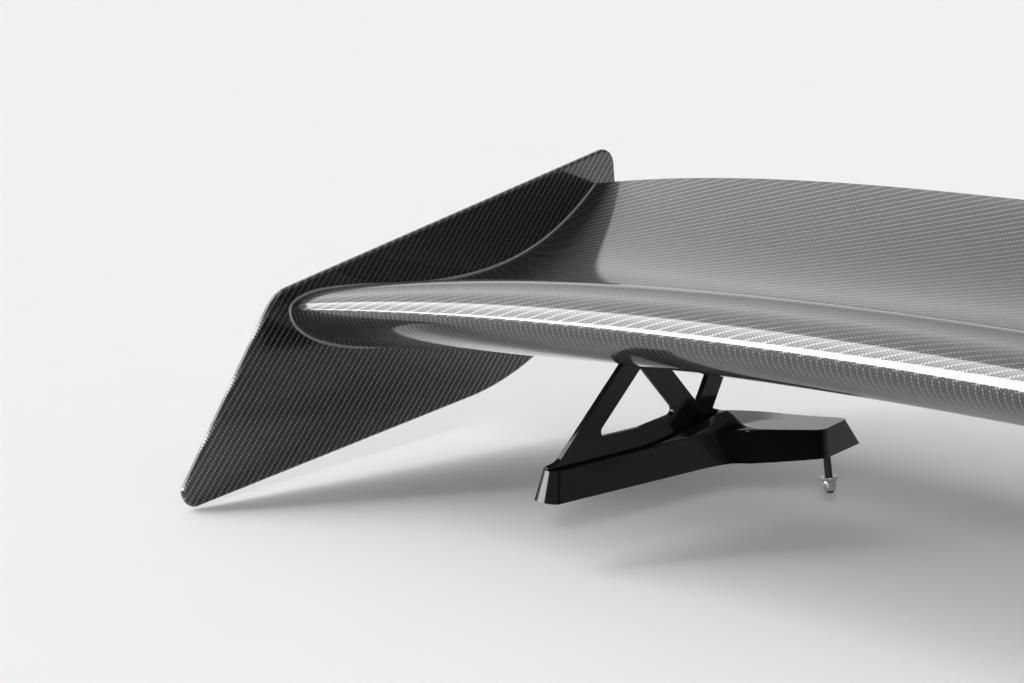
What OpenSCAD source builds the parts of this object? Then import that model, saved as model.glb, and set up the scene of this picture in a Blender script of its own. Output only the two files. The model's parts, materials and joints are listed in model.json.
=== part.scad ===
// Racing rear wing: an arched carbon blade between two end plates, carried by
// two truss uprights on boomerang-shaped feet that bolt to a boot lid.
//
// X runs across the span, Y points rearward and Z up. The origin lies midway
// between the two toe fixings, on the plane under the feet. Left and right are
// those of the car, so the right side is at -X. Millimetres throughout.

/* [Overall] */
// Width over the outer faces of the end plates
span_w = 1500; // [1200:10:1900]
// Height of the blade's nose above the mounting plane, at the tips
nose_h = 99.5; // [90:0.5:150]
// Rise of the blade from its tips to its centre
arch_h = 49; // [0:1:80]
// Distance between the middle planes of the two uprights
upright_gap = 897; // [597:10:1037]

/* [Blade section] */
// Length of the section from nose to trailing edge
chord = 354; // [290:1:425]
// Height of the front hump over the nose, at the tips
hump_tip = 12.4; // [8:0.2:16]
// Height of the front hump over the nose, at the centre
hump_mid = 25.6; // [14:0.2:30]
// Height of the valley over the nose, at the tips
valley_tip = 3; // [0:0.5:8]
// Height of the valley over the nose, at the centre
valley_mid = -16; // [-19:0.5:0]
// Depth of the belly under the nose, at the tips
belly_tip = 45; // [34:0.5:50]
// Depth of the belly under the nose, at the centre
belly_mid = 48.5; // [38:0.5:56]
// Rise of the trailing edge over the nose, at the tips
rise_tip = 67; // [50:1:80]
// Rise of the trailing edge over the nose, at the centre
rise_mid = 55.5; // [44:0.5:70]
// Extra rise of the trailing edge half-way from the tips to the centre
tail_swell = 7.5; // [0:0.5:12]
// How soon the section fills out inboard of the tips
fullness = 4.5; // [2:0.5:6]
// Upright height of the blunt trailing edge
edge_t = 2.4; // [1.6:0.1:4]
// Thickness of each carbon skin
skin_t = 1.5; // [1:0.1:2.5]

/* [Blade inside] */
// Wall of the two spars
spar_t = 2.5; // [1.5:0.1:4]
// Width of the spars' flanges
spar_flange = 16; // [10:1:24]
// Thickness of the ribs that close the tips
rib_t = 12; // [8:0.5:18]
// Width of the hard points over the uprights
block_w = 64; // [50:1:84]
// Height of the hard points
block_h = 14; // [10:1:20]

/* [End plates] */
// Thickness of the end plates
plate_t = 6; // [4:0.5:9]
// Radius round the plates' edges
plate_edge_r = 2.4; // [1:0.1:3]
// How far the plates reach ahead of the blade's nose, low down
plate_ahead = 112; // [60:1:150]
// How far the plates reach behind the trailing edge
plate_behind = 26; // [12:1:60]
// How far the plates stand above the trailing edge
plate_above = 30; // [20:1:60]
// How far the plates hang below the nose
plate_below = 147; // [120:1:180]

/* [Uprights] */
// Thickness of the truss plates
truss_t = 5; // [4:0.5:8]
// Thickness of the rail along the foot, which takes the screws
rail_t = 10; // [9:0.5:11]
// Width of the three struts
strut_w = 22; // [16:0.5:26]
// Lean of the front strut from the horizontal, in degrees
front_lean = 43.5; // [38:0.5:50]
// Radius in the corners of the windows
window_r = 4; // [2:0.5:6]
// Thickness of the flange under the blade
flange_t = 3.5; // [2.5:0.5:5]
// Width of the flange outboard of the truss plate
flange_w = 24; // [20:1:30]

/* [Feet] */
// Height of the feet along the uprights
foot_h = 22.3; // [20:0.1:34]
// Width of the front leg across its top
leg_top_w = 15; // [12:0.5:20]
// Width of the inboard arm ahead of its middle line, across its top
arm_front_w = 22; // [17:1:27]
// Width of the inboard arm behind its middle line, at its end
arm_back_w = 27; // [20:1:32]
// Reach of the heel of the boomerang behind the middle line
heel_w = 57; // [46:1:68]
// Spread of the front leg's walls from top to bottom, on each side
leg_flare = 7.5; // [4:0.5:10]
// The same in the bend, on the inner side
bend_flare = 15; // [8:0.5:18]
// Spread of the inboard arm's walls from top to bottom, on each side
arm_flare = 12; // [5:0.5:14]
// Reach of the toe's top ahead of the toe fixing
toe_ahead = 14.5; // [13:0.5:24]
// Distance from the toe fixing to the crossing of the two legs' middle lines
leg_l = 192; // [170:1:220]
// Length of the inboard arm from that crossing to the end of its top
arm_l = 80; // [72:1:110]
// Turn of the inboard arm rearward from the span, in degrees
arm_turn = 30; // [15:1:40]
// Radius of the bend between the legs' middle lines
bend_r = 60; // [45:1:80]
// Rise of the inboard arm's underside, in degrees, to follow a crowned lid
arm_rise = 9; // [0:0.5:12]
// Wall thickness of the feet
foot_wall = 3; // [2:0.5:4]
// Height of the saddle that rises to the rear end of the upright
saddle_h = 15; // [8:1:20]

/* [Fasteners] */
// Thread diameter of the studs and the toe fixings
stud_d = 6; // [5:1:8]
// Length of stud below the inboard arm
stud_reach = 34; // [30:1:50]
// Free length of stud between the inboard arm and the washers
washer_drop = 21; // [10:0.5:21]
// Diameter of the wide washers
wide_washer_d = 16; // [14:1:20]
// Diameter of the small washers
small_washer_d = 12; // [11:0.5:13]
// Width across the flats of the lock nuts
nut_af = 10; // [8:1:13]
// Thread diameter of the screws through the end plates and into the uprights
screw_d = 5; // [4:1:6]

/* [Hidden] */
$fn = 48;

// Clearances
bond_gap = 0.05;      // glue line between bonded pieces
paste_gap = 0.35;     // thicker adhesive between the skins and what lies inside them
seat_gap = 0.05;      // between faces that are screwed together
screw_fit = 0.15;     // radial clearance of a screw in a plain hole
thread_fit = 0.02;    // radial clearance between drawn thread surfaces
nut_fit = 0.05;       // radial clearance of the nut on the stud
washer_fit = 0.2;     // radial clearance of the washers on the stud
stack_gap = 0.05;     // between washers and nut

// Fastener proportions
thread_share = 0.84;  // root diameter of a thread over its nominal diameter
washer_t = 1.6;
small_washer_t = 1.2;
nut_h = stud_d;
insert_wall = 1.8;

// Plan
half_span = span_w / 2;
tip_x = half_span - plate_t;
upright_x = upright_gap / 2;
nose_y = -14;
tail_y = nose_y + chord;

// Section places along the chord, as distances from the nose
hump_y_tip = chord * 0.10;
hump_y_mid = chord * 0.15;
valley_y_tip = chord * 0.48;
valley_y_mid = chord * 0.49;
belly_y_tip = chord * 0.34;
belly_y_mid = chord * 0.49;
upper_slope = 0.9;    // slope of the upper face at the trailing edge
lower_slope = 1.13;   // slope of the lower face at the trailing edge

// Resolution of the lofted pieces
span_steps = 8;       // on each side of the flange, from tip to centre
chord_steps = 20;
rib_first = 3;        // steps of the chord that the tip ribs start and end at
rib_last = 16;

// ---- Small tools -----------------------------------------------------------

function mix(a, b, t) = a + (b - a) * t;
function smooth(t) = t * t * (3 - 2 * t);

// Cubic from z0, level, to z1 with slope s1, over the length l, at share t
function level_to_slope(z0, z1, s1, l, t) =
  mix(z0, z1, smooth(t)) + s1 * l * (t * t * t - t * t);

function bezier(p, t) =
  let (u = 1 - t)
  u * u * u * p[0] + 3 * u * u * t * p[1] + 3 * u * t * t * p[2] + t * t * t * p[3];

// Arc points round centre c, from angle a0 to a1, both ends included
function arc(c, r, a0, a1, n) =
  [for (i = [0 : n]) let (a = mix(a0, a1, i / n)) c + r * [cos(a), sin(a)]];

function unit(v) = v / norm(v);

// The corner at q between p and s, rounded with radius r into n + 1 points
function rounded_corner(p, q, s, r, n) =
  let (u = unit(p - q), v = unit(s - q), half = acos(u * v) / 2,
       reach = r / tan(half), mid = q + unit(u + v) * r / sin(half),
       a = q + u * reach, b = q + v * reach,
       a0 = atan2(a[1] - mid[1], a[0] - mid[0]),
       turn = atan2(b[1] - mid[1], b[0] - mid[0]) - a0,
       sweep = turn > 180 ? turn - 360 : turn < -180 ? turn + 360 : turn)
  arc(mid, r, a0, a0 + sweep, n);

// A closed outline with every corner rounded by its own radius
function rounded(points, radii, n = 5) =
  [for (i = [0 : len(points) - 1])
    let (c = len(points),
         p = points[(i + c - 1) % c], q = points[i], s = points[(i + 1) % c])
    each radii[i] > 0 ? rounded_corner(p, q, s, radii[i], n) : [q]];

// Where the line through p with direction u meets the line through q with direction v
function crossing(p, u, q, v) =
  p + u * ((q[0] - p[0]) * v[1] - (q[1] - p[1]) * v[0]) / (u[0] * v[1] - u[1] * v[0]);

// The end of a loft whose ring runs out along one side and back along the other, as triangles between
// the two sides
function ribbon_cap(n) =
  [for (j = [0 : n / 2 - 2]) each [[j, j + 1, n - 2 - j], [j, n - 2 - j, n - 1 - j]]];

// A solid skinned over rings that all hold the same number of points; ribbon marks a thin, bent ring
module loft(rings, ribbon = false) {
  n = len(rings[0]);
  last = len(rings) - 1;
  walls = [for (i = [0 : last - 1], j = [0 : n - 1])
    let (k = (j + 1) % n, a = i * n + j, b = i * n + k, c = (i + 1) * n + k, d = (i + 1) * n + j)
    each [[a, c, b], [a, d, c]]];
  cap = ribbon ? ribbon_cap(n) : [[for (j = [0 : n - 1]) j]];
  far_cap = [for (f = cap) [for (j = [len(f) - 1 : -1 : 0]) last * n + f[j]]];
  polyhedron(points = [for (ring = rings) each ring], faces = concat(cap, walls, far_cap), convexity = 8);
}

// The same ring run the other way round
function turned(ring) = [for (i = [len(ring) - 1 : -1 : 0]) ring[i]];

// Stands a (y, z) outline upright with its faces towards -X and +X
module across(x, t) {
  translate([x, 0, 0]) rotate([90, 0, 90]) linear_extrude(t) children();
}

// Pieces are modelled on the right side of the car, at -X
module on_side(side) {
  if (side == "right") children();
  else mirror([1, 0, 0]) children();
}

// ---- Blade surface ---------------------------------------------------------

// 0 at the tips and 1 at the centre, along the parabola of the arch
function inboard(x) = 1 - pow(x / tip_x, 2);

// The same ends, but nearly 1 over most of the span
function filled(x) = 1 - pow(abs(x) / tip_x, fullness);

// Rise of the trailing edge over the nose
function rise(x) =
  let (m = inboard(x)) mix(rise_tip, rise_mid, m) + tail_swell * 4 * m * (1 - m);

// Height of the nose line at x
function nose_z(x) = nose_h + arch_h * inboard(x);

// Upper and lower faces over the nose line, y being the distance behind the nose
function upper_z(x, y) =
  let (m = filled(x),
       hump = mix(hump_tip, hump_mid, m), hump_y = mix(hump_y_tip, hump_y_mid, m),
       valley = mix(valley_tip, valley_mid, m), valley_y = mix(valley_y_tip, valley_y_mid, m))
  y < hump_y ? hump * sqrt(1 - pow(1 - y / hump_y, 2))
  : y < valley_y ? mix(hump, valley, smooth((y - hump_y) / (valley_y - hump_y)))
  : level_to_slope(valley, rise(x), upper_slope, chord - valley_y, (y - valley_y) / (chord - valley_y));

function lower_z(x, y) =
  let (m = filled(x),
       belly = mix(belly_tip, belly_mid, m), belly_y = mix(belly_y_tip, belly_y_mid, m))
  y < belly_y ? -belly * sqrt(1 - pow(1 - y / belly_y, 2))
  : level_to_slope(-belly, rise(x) - edge_t, lower_slope, chord - belly_y,
      (y - belly_y) / (chord - belly_y));

function face_z(top, x, y) = top ? upper_z(x, y) : lower_z(x, y);
function face_slope(top, x, y) =
  let (e = min(0.5, y / 2, (chord - y) / 2 + 0.01), a = max(y - e, 0), b = min(y + e, chord))
  (face_z(top, x, b) - face_z(top, x, a)) / (b - a);

// The point a given depth under one face, never past the middle of the section
function inner_point(top, x, y, depth) =
  let (s = face_slope(top, x, y), k = 1 / sqrt(1 + s * s),
       room = (upper_z(x, y) - lower_z(x, y)) * 0.49 * k,
       d = min(depth, room) * (top ? 1 : -1))
  [y + d * s * k, face_z(top, x, y) - d * k];

// Height at y, measured from the origin, along a run of (distance behind the nose, height over it) points
function height_at(x, y, run) = nose_z(x) + lookup(y - nose_y, run);

// Height of the inside of one skin and of the blade's underside, along the skins' own facets
function inside_z(top, x, y) =
  height_at(x, y, [for (i = [rib_first : chord_steps])
    inner_point(top, x, chord_at(i, chord_steps), skin_t + paste_gap)]);

function outside_z(x, y) =
  height_at(x, y, [for (i = [0 : chord_steps])
    let (c = chord_at(i, chord_steps)) [c, lower_z(x, c)]]);

// a and b with the sections' points in between
function facet_ys(a, b) =
  concat([a], [for (i = [0 : chord_steps]) let (y = nose_y + chord_at(i, chord_steps)) if (y > a && y < b) y], [b]);

// The sections of one half run through the ribs' and flanges' edges, where pieces meet
flange_out = upright_x + truss_t / 2 + flange_w;
flange_in = upright_x - truss_t / 2 - 1;
inner_stations = concat(
  [for (i = [0 : span_steps]) mix(tip_x - rib_t, flange_out, pow(i / span_steps, 1.4))],
  [for (i = [0 : span_steps - 1]) mix(flange_in, 0, i / span_steps)]);
function both_halves(xs) = concat([for (x = xs) -x], [0], [for (i = [len(xs) - 1 : -1 : 0]) xs[i]]);

function chord_at(i, n) = chord * (1 - cos(90 * i / n));
function place(x, p) = [x, nose_y + p[0], nose_z(x) + p[1]];

// One skin's cross-section: outer face from nose to tail, then back along the inner face
function skin_ring(top, x) =
  concat(
    [for (i = [0 : chord_steps]) let (y = chord_at(i, chord_steps)) place(x, [y, face_z(top, x, y)])],
    [for (i = [chord_steps : -1 : 1])
      place(x, inner_point(top, x, chord_at(i, chord_steps), skin_t))],
    [place(x, [skin_t, 0])]);

module blade_skin(top) {
  rings = [for (x = both_halves(concat([tip_x], inner_stations))) skin_ring(top, x)];
  if (top) loft([for (r = rings) turned(r)], ribbon = true);
  else difference() {
    loft(rings, ribbon = true);
    for (side = ["left", "right"]) on_side(side) blade_screw_holes(blade_screw_d / 2 + screw_fit);
  }
}

// ---- Blade inside ----------------------------------------------------------

spar_stations = [for (x = inner_stations) min(x, tip_x - rib_t - bond_gap)];
front_spar_y = nose_y + chord * 0.17;
rear_spar_y = nose_y + chord_at(16, chord_steps) + 5;

// Channel section whose flanges lie against both skins; way is -1 forward or 1 rearward
function spar_ring(x, y, way) =
  let (y1 = y + way * spar_t, y2 = y + way * spar_flange,
       top = [for (p = [y, y1, y2]) inside_z(true, x, p)],
       low = [for (p = [y, y1, y2]) inside_z(false, x, p)])
  [[x, y2, top[2]], [x, y, top[0]], [x, y, low[0]], [x, y2, low[2]],
   [x, y2, low[2] + spar_t], [x, y1, low[1] + spar_t], [x, y1, top[1] - spar_t], [x, y2, top[2] - spar_t]];

module spar(y, way) {
  rings = [for (x = both_halves(spar_stations)) spar_ring(x, y, way)];
  if (way > 0) loft(rings, ribbon = true);
  else loft([for (r = rings) turned(r)], ribbon = true);
}

// Where the screws of the end plates meet the tip ribs
tip_screw_y = [nose_y + chord * 0.09, nose_y + chord * 0.37, nose_y + chord * 0.65];
insert_r = screw_d / 2 + insert_wall;
function tip_screw_z(y) =
  (inside_z(true, tip_x, y) + inside_z(false, tip_x, y)) / 2;

function rib_ring(x) =
  let (depth = skin_t + paste_gap)
  concat(
    [for (i = [rib_first : rib_last])
      place(x, inner_point(false, x, chord_at(i, chord_steps), depth))],
    [for (i = [rib_last : -1 : rib_first])
      place(x, inner_point(true, x, chord_at(i, chord_steps), depth))]);

module at_tip_screws() {
  for (y = tip_screw_y) translate([-tip_x, y, tip_screw_z(y)]) rotate([0, 90, 0]) children();
}

module tip_rib() {
  difference() {
    loft([rib_ring(-tip_x), rib_ring(-tip_x + rib_t)], ribbon = true);
    at_tip_screws() translate([0, 0, -1]) cylinder(r = insert_r + bond_gap, h = rib_t + 2);
  }
}

module tip_inserts() {
  at_tip_screws() difference() {
    cylinder(r = insert_r, h = rib_t);
    translate([0, 0, -1]) cylinder(d = screw_d * thread_share, h = rib_t + 2);
  }
}

// Holes up through the flange, the lower skin and the hard point, beside the truss
blade_screw_d = 6;
blade_screw_x = flange_w / 2 - flange_out;
blade_screw_y = [nose_y + chord * 0.30, nose_y + chord * 0.46, nose_y + chord * 0.62];
block_a = blade_screw_y[0] - 15;
block_b = blade_screw_y[2] + 15;

function block_ring(x) =
  let (ys = facet_ys(block_a, block_b))
  concat(
    [for (y = ys) [x, y, inside_z(false, x, y)]],
    [for (y = turned(ys)) [x, y, min(inside_z(false, x, y) + block_h, inside_z(true, x, y))]]);

// Underside of the flange at a blade screw
function flange_low_z(y) = outside_z(blade_screw_x, y) - seat_gap - flange_t;

module at_blade_screws() {
  for (y = blade_screw_y) translate([blade_screw_x, y, flange_low_z(y)]) children();
}

module blade_screw_holes(r) {
  at_blade_screws() translate([0, 0, -10]) cylinder(r = r, h = 80);
}

module hard_point() {
  a = -upright_x - block_w / 2 - flange_w / 4;
  difference() {
    loft([for (x = [a : block_w / 4 : a + block_w + 0.01]) block_ring(x)], ribbon = true);
    blade_screw_holes(blade_screw_d * thread_share / 2);
  }
}

// ---- End plates ------------------------------------------------------------

plate_low = nose_h - plate_below;
plate_top = nose_h + rise_tip + plate_above;
plate_tail = tail_y + plate_behind;
plate_toe = nose_y - plate_ahead;

// Outline in (y, z), anticlockwise from the low front corner
function plate_outline() =
  let (toe = [plate_toe, plate_low + 15],
       brow = [nose_y - 14, nose_h + 16],
       peak = [plate_tail - 2, plate_top + 3],
       heel = [nose_y + chord * 0.57, plate_low + 42],
       low = [plate_toe + 8, plate_low])
  concat(
    rounded_corner(brow, toe, low, 10, 3),
    rounded_corner(toe, low, heel, 12, 3),
    [for (i = [0 : 10])
      bezier([heel, heel + [chord * 0.22, 12],
              [plate_tail - 6, plate_low + chord * 0.30], [plate_tail, nose_h + rise_tip]], i / 10)],
    rounded_corner([plate_tail, nose_h], peak, brow, 15, 6),
    rounded_corner(peak, brow, toe, 34, 6));

// The outline drawn in by d all round
function drawn_in(p, d) =
  [for (i = [0 : len(p) - 1])
    let (n = len(p), t = unit(p[(i + 1) % n] - p[(i + n - 1) % n])) p[i] + d * [-t[1], t[0]]];

module end_plate_blank() {
  outline = plate_outline();
  r = plate_edge_r;
  steps = 3;
  near = [for (i = [0 : steps]) let (a = 90 * i / steps) [r * (1 - cos(a)), r * (1 - sin(a))]];
  far = [for (i = [steps : -1 : 0]) [plate_t - near[i][0], near[i][1]]];
  loft([for (l = concat(near, far))
    [for (p = drawn_in(outline, l[1])) [-half_span + l[0], p[0], p[1]]]]);
}

module end_plate() {
  sink = screw_d * 0.55;
  difference() {
    end_plate_blank();
    at_tip_screws() {
      translate([0, 0, -plate_t - 1]) cylinder(r = screw_d / 2 + screw_fit, h = plate_t + 2);
      translate([0, 0, -plate_t - 0.01])
        cylinder(r1 = screw_d + screw_fit, r2 = screw_d / 2 + screw_fit, h = sink + 0.01);
    }
  }
}

// Countersunk screws with a hexagon socket, heads flush with the outer face
module end_plate_screws() {
  sink = screw_d * 0.55;
  at_tip_screws() difference() {
    union() {
      translate([0, 0, -plate_t + 0.1]) cylinder(r1 = screw_d - 0.1, r2 = screw_d / 2, h = sink - 0.1);
      translate([0, 0, -plate_t + sink - 0.01]) cylinder(d = screw_d, h = plate_t - sink - 0.29);
      translate([0, 0, -0.31]) cylinder(r = screw_d * thread_share / 2 - thread_fit, h = rib_t - 1);
    }
    translate([0, 0, -plate_t - 1]) cylinder(d = screw_d * 0.66, h = 1 + sink * 0.8, $fn = 6);
  }
}

// ---- Uprights --------------------------------------------------------------

mid_lean = 46;        // lean of the middle strut, falling rearward
rear_lean = 62;       // lean of the rear strut
front_strut = 0.815;  // width of the front strut over strut_w
mid_strut = 0.88;     // the same for the middle strut
rear_strut = 0.84;    // and for the rear strut
rail_h = 16;          // height of the rail along the foot
front_foot = [1.8, foot_h + 10];            // on the front face of the front strut
rear_foot = [167, foot_h + saddle_h + 6];   // on the rear face of the rear strut
mid_foot = [119, foot_h + 26];              // on the front face of the middle strut
flange_lead = 9.4;    // of the flange ahead of its first screw
truss_toe_y = -16;
saddle_start_y = 83;
saddle_end_y = rear_foot[0] + 5;

// Height of the foot's top under the upright at y, in straight steps that both pieces share
saddle_steps = 6;
saddle_ys = [for (i = [0 : saddle_steps]) mix(saddle_start_y, saddle_end_y, i / saddle_steps)];
saddle_line = [for (i = [0 : saddle_steps])
  [saddle_ys[i], foot_h + saddle_h * pow(i / saddle_steps, 1.5)]];
function saddle_z(y) = lookup(y, saddle_line);

// Top of the truss plate, against the blade on its lower, outboard side
function truss_top_z(y) = outside_z(-upright_x - truss_t / 2, y) - seat_gap;

// Where a line that leans at a degrees through p reaches the top of the truss
function top_meet(p, a, y, tries = 5) =
  tries == 0 ? [y, truss_top_z(y)]
  : top_meet(p, a, p[0] + (truss_top_z(y) - p[1]) / tan(a), tries - 1);

function heading(a) = [cos(a), sin(a)];

front_top = top_meet(front_foot, front_lean, front_foot[0]);
rear_top = top_meet(rear_foot, rear_lean, rear_foot[0]);

module truss_outline() {
  bottom = [for (i = [saddle_steps : -1 : 0]) saddle_line[i] + [0, seat_gap]];
  sole = [truss_toe_y, foot_h + seat_gap];
  toe = [truss_toe_y, foot_h + 2.5];
  flare = front_foot - heading(front_lean) * 8;
  top = [for (y = facet_ys(front_top[0], rear_top[0])) [y, truss_top_z(y)]];
  heel = rear_foot - heading(rear_lean) * 4;
  polygon(concat(bottom, [sole, toe], rounded_corner(toe, flare, front_top, 14, 5), top, [heel]));
}

module triangle_window() {
  inner = front_foot + front_strut * strut_w * [sin(front_lean), -cos(front_lean)];
  rail_a = [30, foot_h + rail_h];
  rail_b = [saddle_start_y, foot_h + rail_h];
  rail_c = [mid_foot[0] + 6, saddle_z(mid_foot[0] + 6) + rail_h];
  up = heading(front_lean);
  down = heading(-mid_lean);
  low_front = crossing(inner, up, rail_a, [1, 0]);
  low_rear = crossing(mid_foot, down, rail_b, rail_c - rail_b);
  apex = crossing(inner, up, mid_foot, down);
  polygon(rounded([low_front, rail_b, low_rear, apex], [window_r, 30, window_r, 1.5]));
}

module vee_window() {
  down = heading(-mid_lean);
  up = heading(rear_lean);
  front_edge = mid_foot + mid_strut * strut_w * [sin(mid_lean), cos(mid_lean)];
  rear_edge = rear_foot - rear_strut * strut_w * [sin(rear_lean), -cos(rear_lean)];
  vertex = crossing(front_edge, down, rear_edge, up);
  reach = nose_h;
  polygon(rounded([vertex, vertex + up * reach, vertex - down * reach], [window_r * 0.6, 0, 0]));
}

flange_a = blade_screw_y[0] - flange_lead;
flange_b = rear_top[0] + 2;

module blade_flange() {
  x0 = -flange_out;
  x1 = -flange_in;
  loft([for (y = facet_ys(flange_a, flange_b))
    let (a = outside_z(x0, y) - seat_gap, b = outside_z(x1, y) - seat_gap)
    [[x0, y, a - flange_t], [x0, y, a], [x1, y, b], [x1, y, b - flange_t]]]);
}

blade_head_r = 5.2;
blade_head_h = 3.4;
blade_seat = 0.9;     // depth of the spot faces under the flange
foot_screw_x = -upright_x + (truss_t - rail_t) / 2;
foot_screw_y = [34, 80, 126];
foot_screw_bite = 9;  // thread length in the rail

module at_foot_screws() {
  for (y = foot_screw_y) translate([foot_screw_x, y, saddle_z(y)]) children();
}

// Thicker strip low on the outboard face, over the screws
module rail() {
  a = foot_screw_y[0] - 12;
  b = foot_screw_y[2] + 12;
  ys = concat([a], [for (y = saddle_ys) if (y < b) y], [b]);
  across(-upright_x + truss_t / 2 - rail_t, rail_t - truss_t / 2) polygon(concat(
    [for (y = ys) [y, saddle_z(y) + seat_gap]],
    [for (i = [len(ys) - 1 : -1 : 0]) [ys[i], saddle_z(ys[i]) + rail_h - 4]]));
}

module upright() {
  difference() {
    union() {
      across(-upright_x - truss_t / 2, truss_t) difference() {
        truss_outline();
        triangle_window();
        vee_window();
      }
      rail();
      blade_flange();
    }
    blade_screw_holes(blade_screw_d / 2 + screw_fit);
    at_blade_screws() translate([0, 0, -20]) cylinder(r = blade_head_r + 0.4, h = 20 + blade_seat);
    at_foot_screws() translate([0, 0, -2])
      cylinder(r = screw_d * thread_share / 2, h = foot_screw_bite + 3);
  }
}

// Button heads with a hexagon socket, up through the flange into the hard point
module blade_screws() {
  grip = blade_head_h + flange_t - blade_seat + skin_t * 0.2;
  for (y = blade_screw_y)
    translate([blade_screw_x, y, flange_low_z(y) + blade_seat - seat_gap - blade_head_h])
      difference() {
        union() {
          translate([0, 0, blade_head_h * 0.45]) cylinder(r = blade_head_r, h = blade_head_h * 0.55);
          cylinder(r1 = blade_head_r * 0.7, r2 = blade_head_r, h = blade_head_h * 0.45 + 0.01);
          cylinder(d = blade_screw_d, h = grip);
          cylinder(r = blade_screw_d * thread_share / 2 - thread_fit, h = grip + 11);
        }
        translate([0, 0, -1]) cylinder(d = blade_screw_d * 0.68, h = 1 + blade_head_h * 0.6, $fn = 6);
      }
}

// ---- Feet ------------------------------------------------------------------

bend_turn = 90 - arm_turn;
bend_reach = bend_r * tan(bend_turn / 2);
bend_l = bend_r * bend_turn * PI / 180;
leg_straight = leg_l + toe_ahead - bend_reach;
foot_path_l = leg_straight + bend_l + arm_l - bend_reach;
hinge_x = 36;         // inboard of the upright, where the underside starts to rise
arm_top_rise = 4.2;   // rise of the arm's top face, in degrees
toe_slope = 8;        // reach of the underside past the top at the toe
toe_flare = 1.5;      // spread of the outboard wall at the toe
end_slope = 7;        // reach of the underside past the top at the inboard end
end_skew = 0.25;      // slant of the inboard end, its rear corner reaching further
edge_soft = 1.4;      // softened top edges
toe_r = 6;            // plan radius of the toe
end_r = 7;            // plan radius of the inboard end

// Plan position and heading at a distance s along the middle line of the foot
function foot_path(s) =
  s < leg_straight ? [-upright_x, s - toe_ahead, 90]
  : s < leg_straight + bend_l
    ? let (t = (s - leg_straight) / bend_l * bend_turn)
      [-upright_x + bend_r * (1 - cos(t)), leg_straight - toe_ahead + bend_r * sin(t), 90 - t]
    : let (d = s - leg_straight - bend_l + bend_reach)
      [-upright_x + d * cos(arm_turn), leg_l + d * sin(arm_turn), arm_turn];

function ramp(s, a, b) = smooth(min(1, max(0, (s - a) / (b - a))));

// Half widths of the top on either side of the middle line, and the flares below them
bend_mid = leg_straight + bend_l / 2;
function front_half(s) =
  mix(leg_top_w / 2, arm_front_w, ramp(s, leg_straight - 26, leg_straight + bend_l + 8));
function back_half(s) =
  s < bend_mid ? mix(leg_top_w / 2, heel_w, ramp(s, leg_straight - 24, bend_mid))
  : mix(heel_w, arm_back_w, (s - bend_mid) / (foot_path_l - bend_mid));
function front_flare(s) =
  s < bend_mid ? mix(leg_flare, bend_flare, s / bend_mid)
  : mix(bend_flare, arm_flare, (s - bend_mid) / (foot_path_l - bend_mid));
function back_flare(s) =
  s < leg_straight ? mix(toe_flare, leg_flare, ramp(s, 0, 45))
  : mix(leg_flare, arm_flare, ramp(s, leg_straight, leg_straight + bend_l));

// Share of the full width that a rounded end leaves at distance d from it
function end_cut(d, r) = d < r ? r - sqrt(r * r - (r - d) * (r - d)) : 0;

function under_z(x) = max(0, (x + upright_x - hinge_x) * tan(arm_rise));
function over_z(x) = foot_h + max(0, (x + upright_x - leg_top_w / 2) * tan(arm_top_rise));

// Height of the saddle over the foot's top
function ridge_h(y) =
  y < saddle_end_y ? saddle_z(y) - foot_h
  : saddle_h * (1 - smooth(min(1, (y - saddle_end_y) / 20)));

// One point of the foot: v to the right of the middle line, up from under (0) to over (1),
// raised by a share of the saddle
function foot_point(s, v, up, share = 0) =
  let (end = ramp(s, foot_path_l - 30, foot_path_l),
       spread = end_slope * end - toe_slope * (1 - ramp(s, 0, 25)),
       p = foot_path(s), a = p[2], push = spread * (1 - up) - v * end_skew * end,
       x = p[0] + v * sin(a) + push * cos(a), y = p[1] - v * cos(a) + push * sin(a))
  [x, y, mix(under_z(x), over_z(x), up) + share * ridge_h(y)];

// Top edge and crest on one side, given as the distances of their points from the middle line
function shoulder(top, crest) =
  [for (k = [[0, 0], [0.3, 4], [0.7, 10]]) min(mix(crest, top, k[0]), crest + k[1])];

function foot_ring(s) =
  let (cut = end_cut(s, toe_r) + end_cut(foot_path_l - s, end_r),
       front = front_half(s) - cut, back = back_half(s) - cut,
       f = shoulder(front, min(leg_top_w / 2, front) - edge_soft),
       b = shoulder(back, min(leg_top_w / 2, back) - edge_soft),
       soft = edge_soft / foot_h)
  [foot_point(s, -back - back_flare(s), 0), foot_point(s, -back, 1 - soft),
   foot_point(s, -b[2], 1, 0.08), foot_point(s, -b[1], 1, 0.4), foot_point(s, -b[0], 1, 1),
   foot_point(s, f[0], 1, 1), foot_point(s, f[1], 1, 0.4), foot_point(s, f[2], 1, 0.08),
   foot_point(s, front, 1 - soft), foot_point(s, front + front_flare(s), 0)];

// Inside of the shell, open underneath
function hollow_ring(s) =
  let (front = front_half(s) - foot_wall, back = back_half(s) - foot_wall,
       lid = 1 - foot_wall / foot_h, down = [0, 0, 1])
  [foot_point(s, -back - back_flare(s), 0) - down, foot_point(s, -back, lid),
   foot_point(s, front, lid), foot_point(s, front + front_flare(s), 0) - down];

end_stations = [0, 0.08, 0.3, 0.65, 1];
foot_stations = concat(
  toe_r * end_stations,
  [for (i = [1 : 5]) mix(toe_r, saddle_start_y + toe_ahead, i / 5)],
  [for (i = [1 : saddle_steps]) saddle_ys[i] + toe_ahead],
  [for (i = [1 : 6]) mix(saddle_end_y + toe_ahead, foot_path_l - end_r, i / 8)],
  [for (i = [4 : -1 : 0]) foot_path_l - end_r * end_stations[i]]);
hollow_stations = [for (i = [0 : 20]) mix(foot_wall + 3, foot_path_l - foot_wall, i / 20)];

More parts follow.
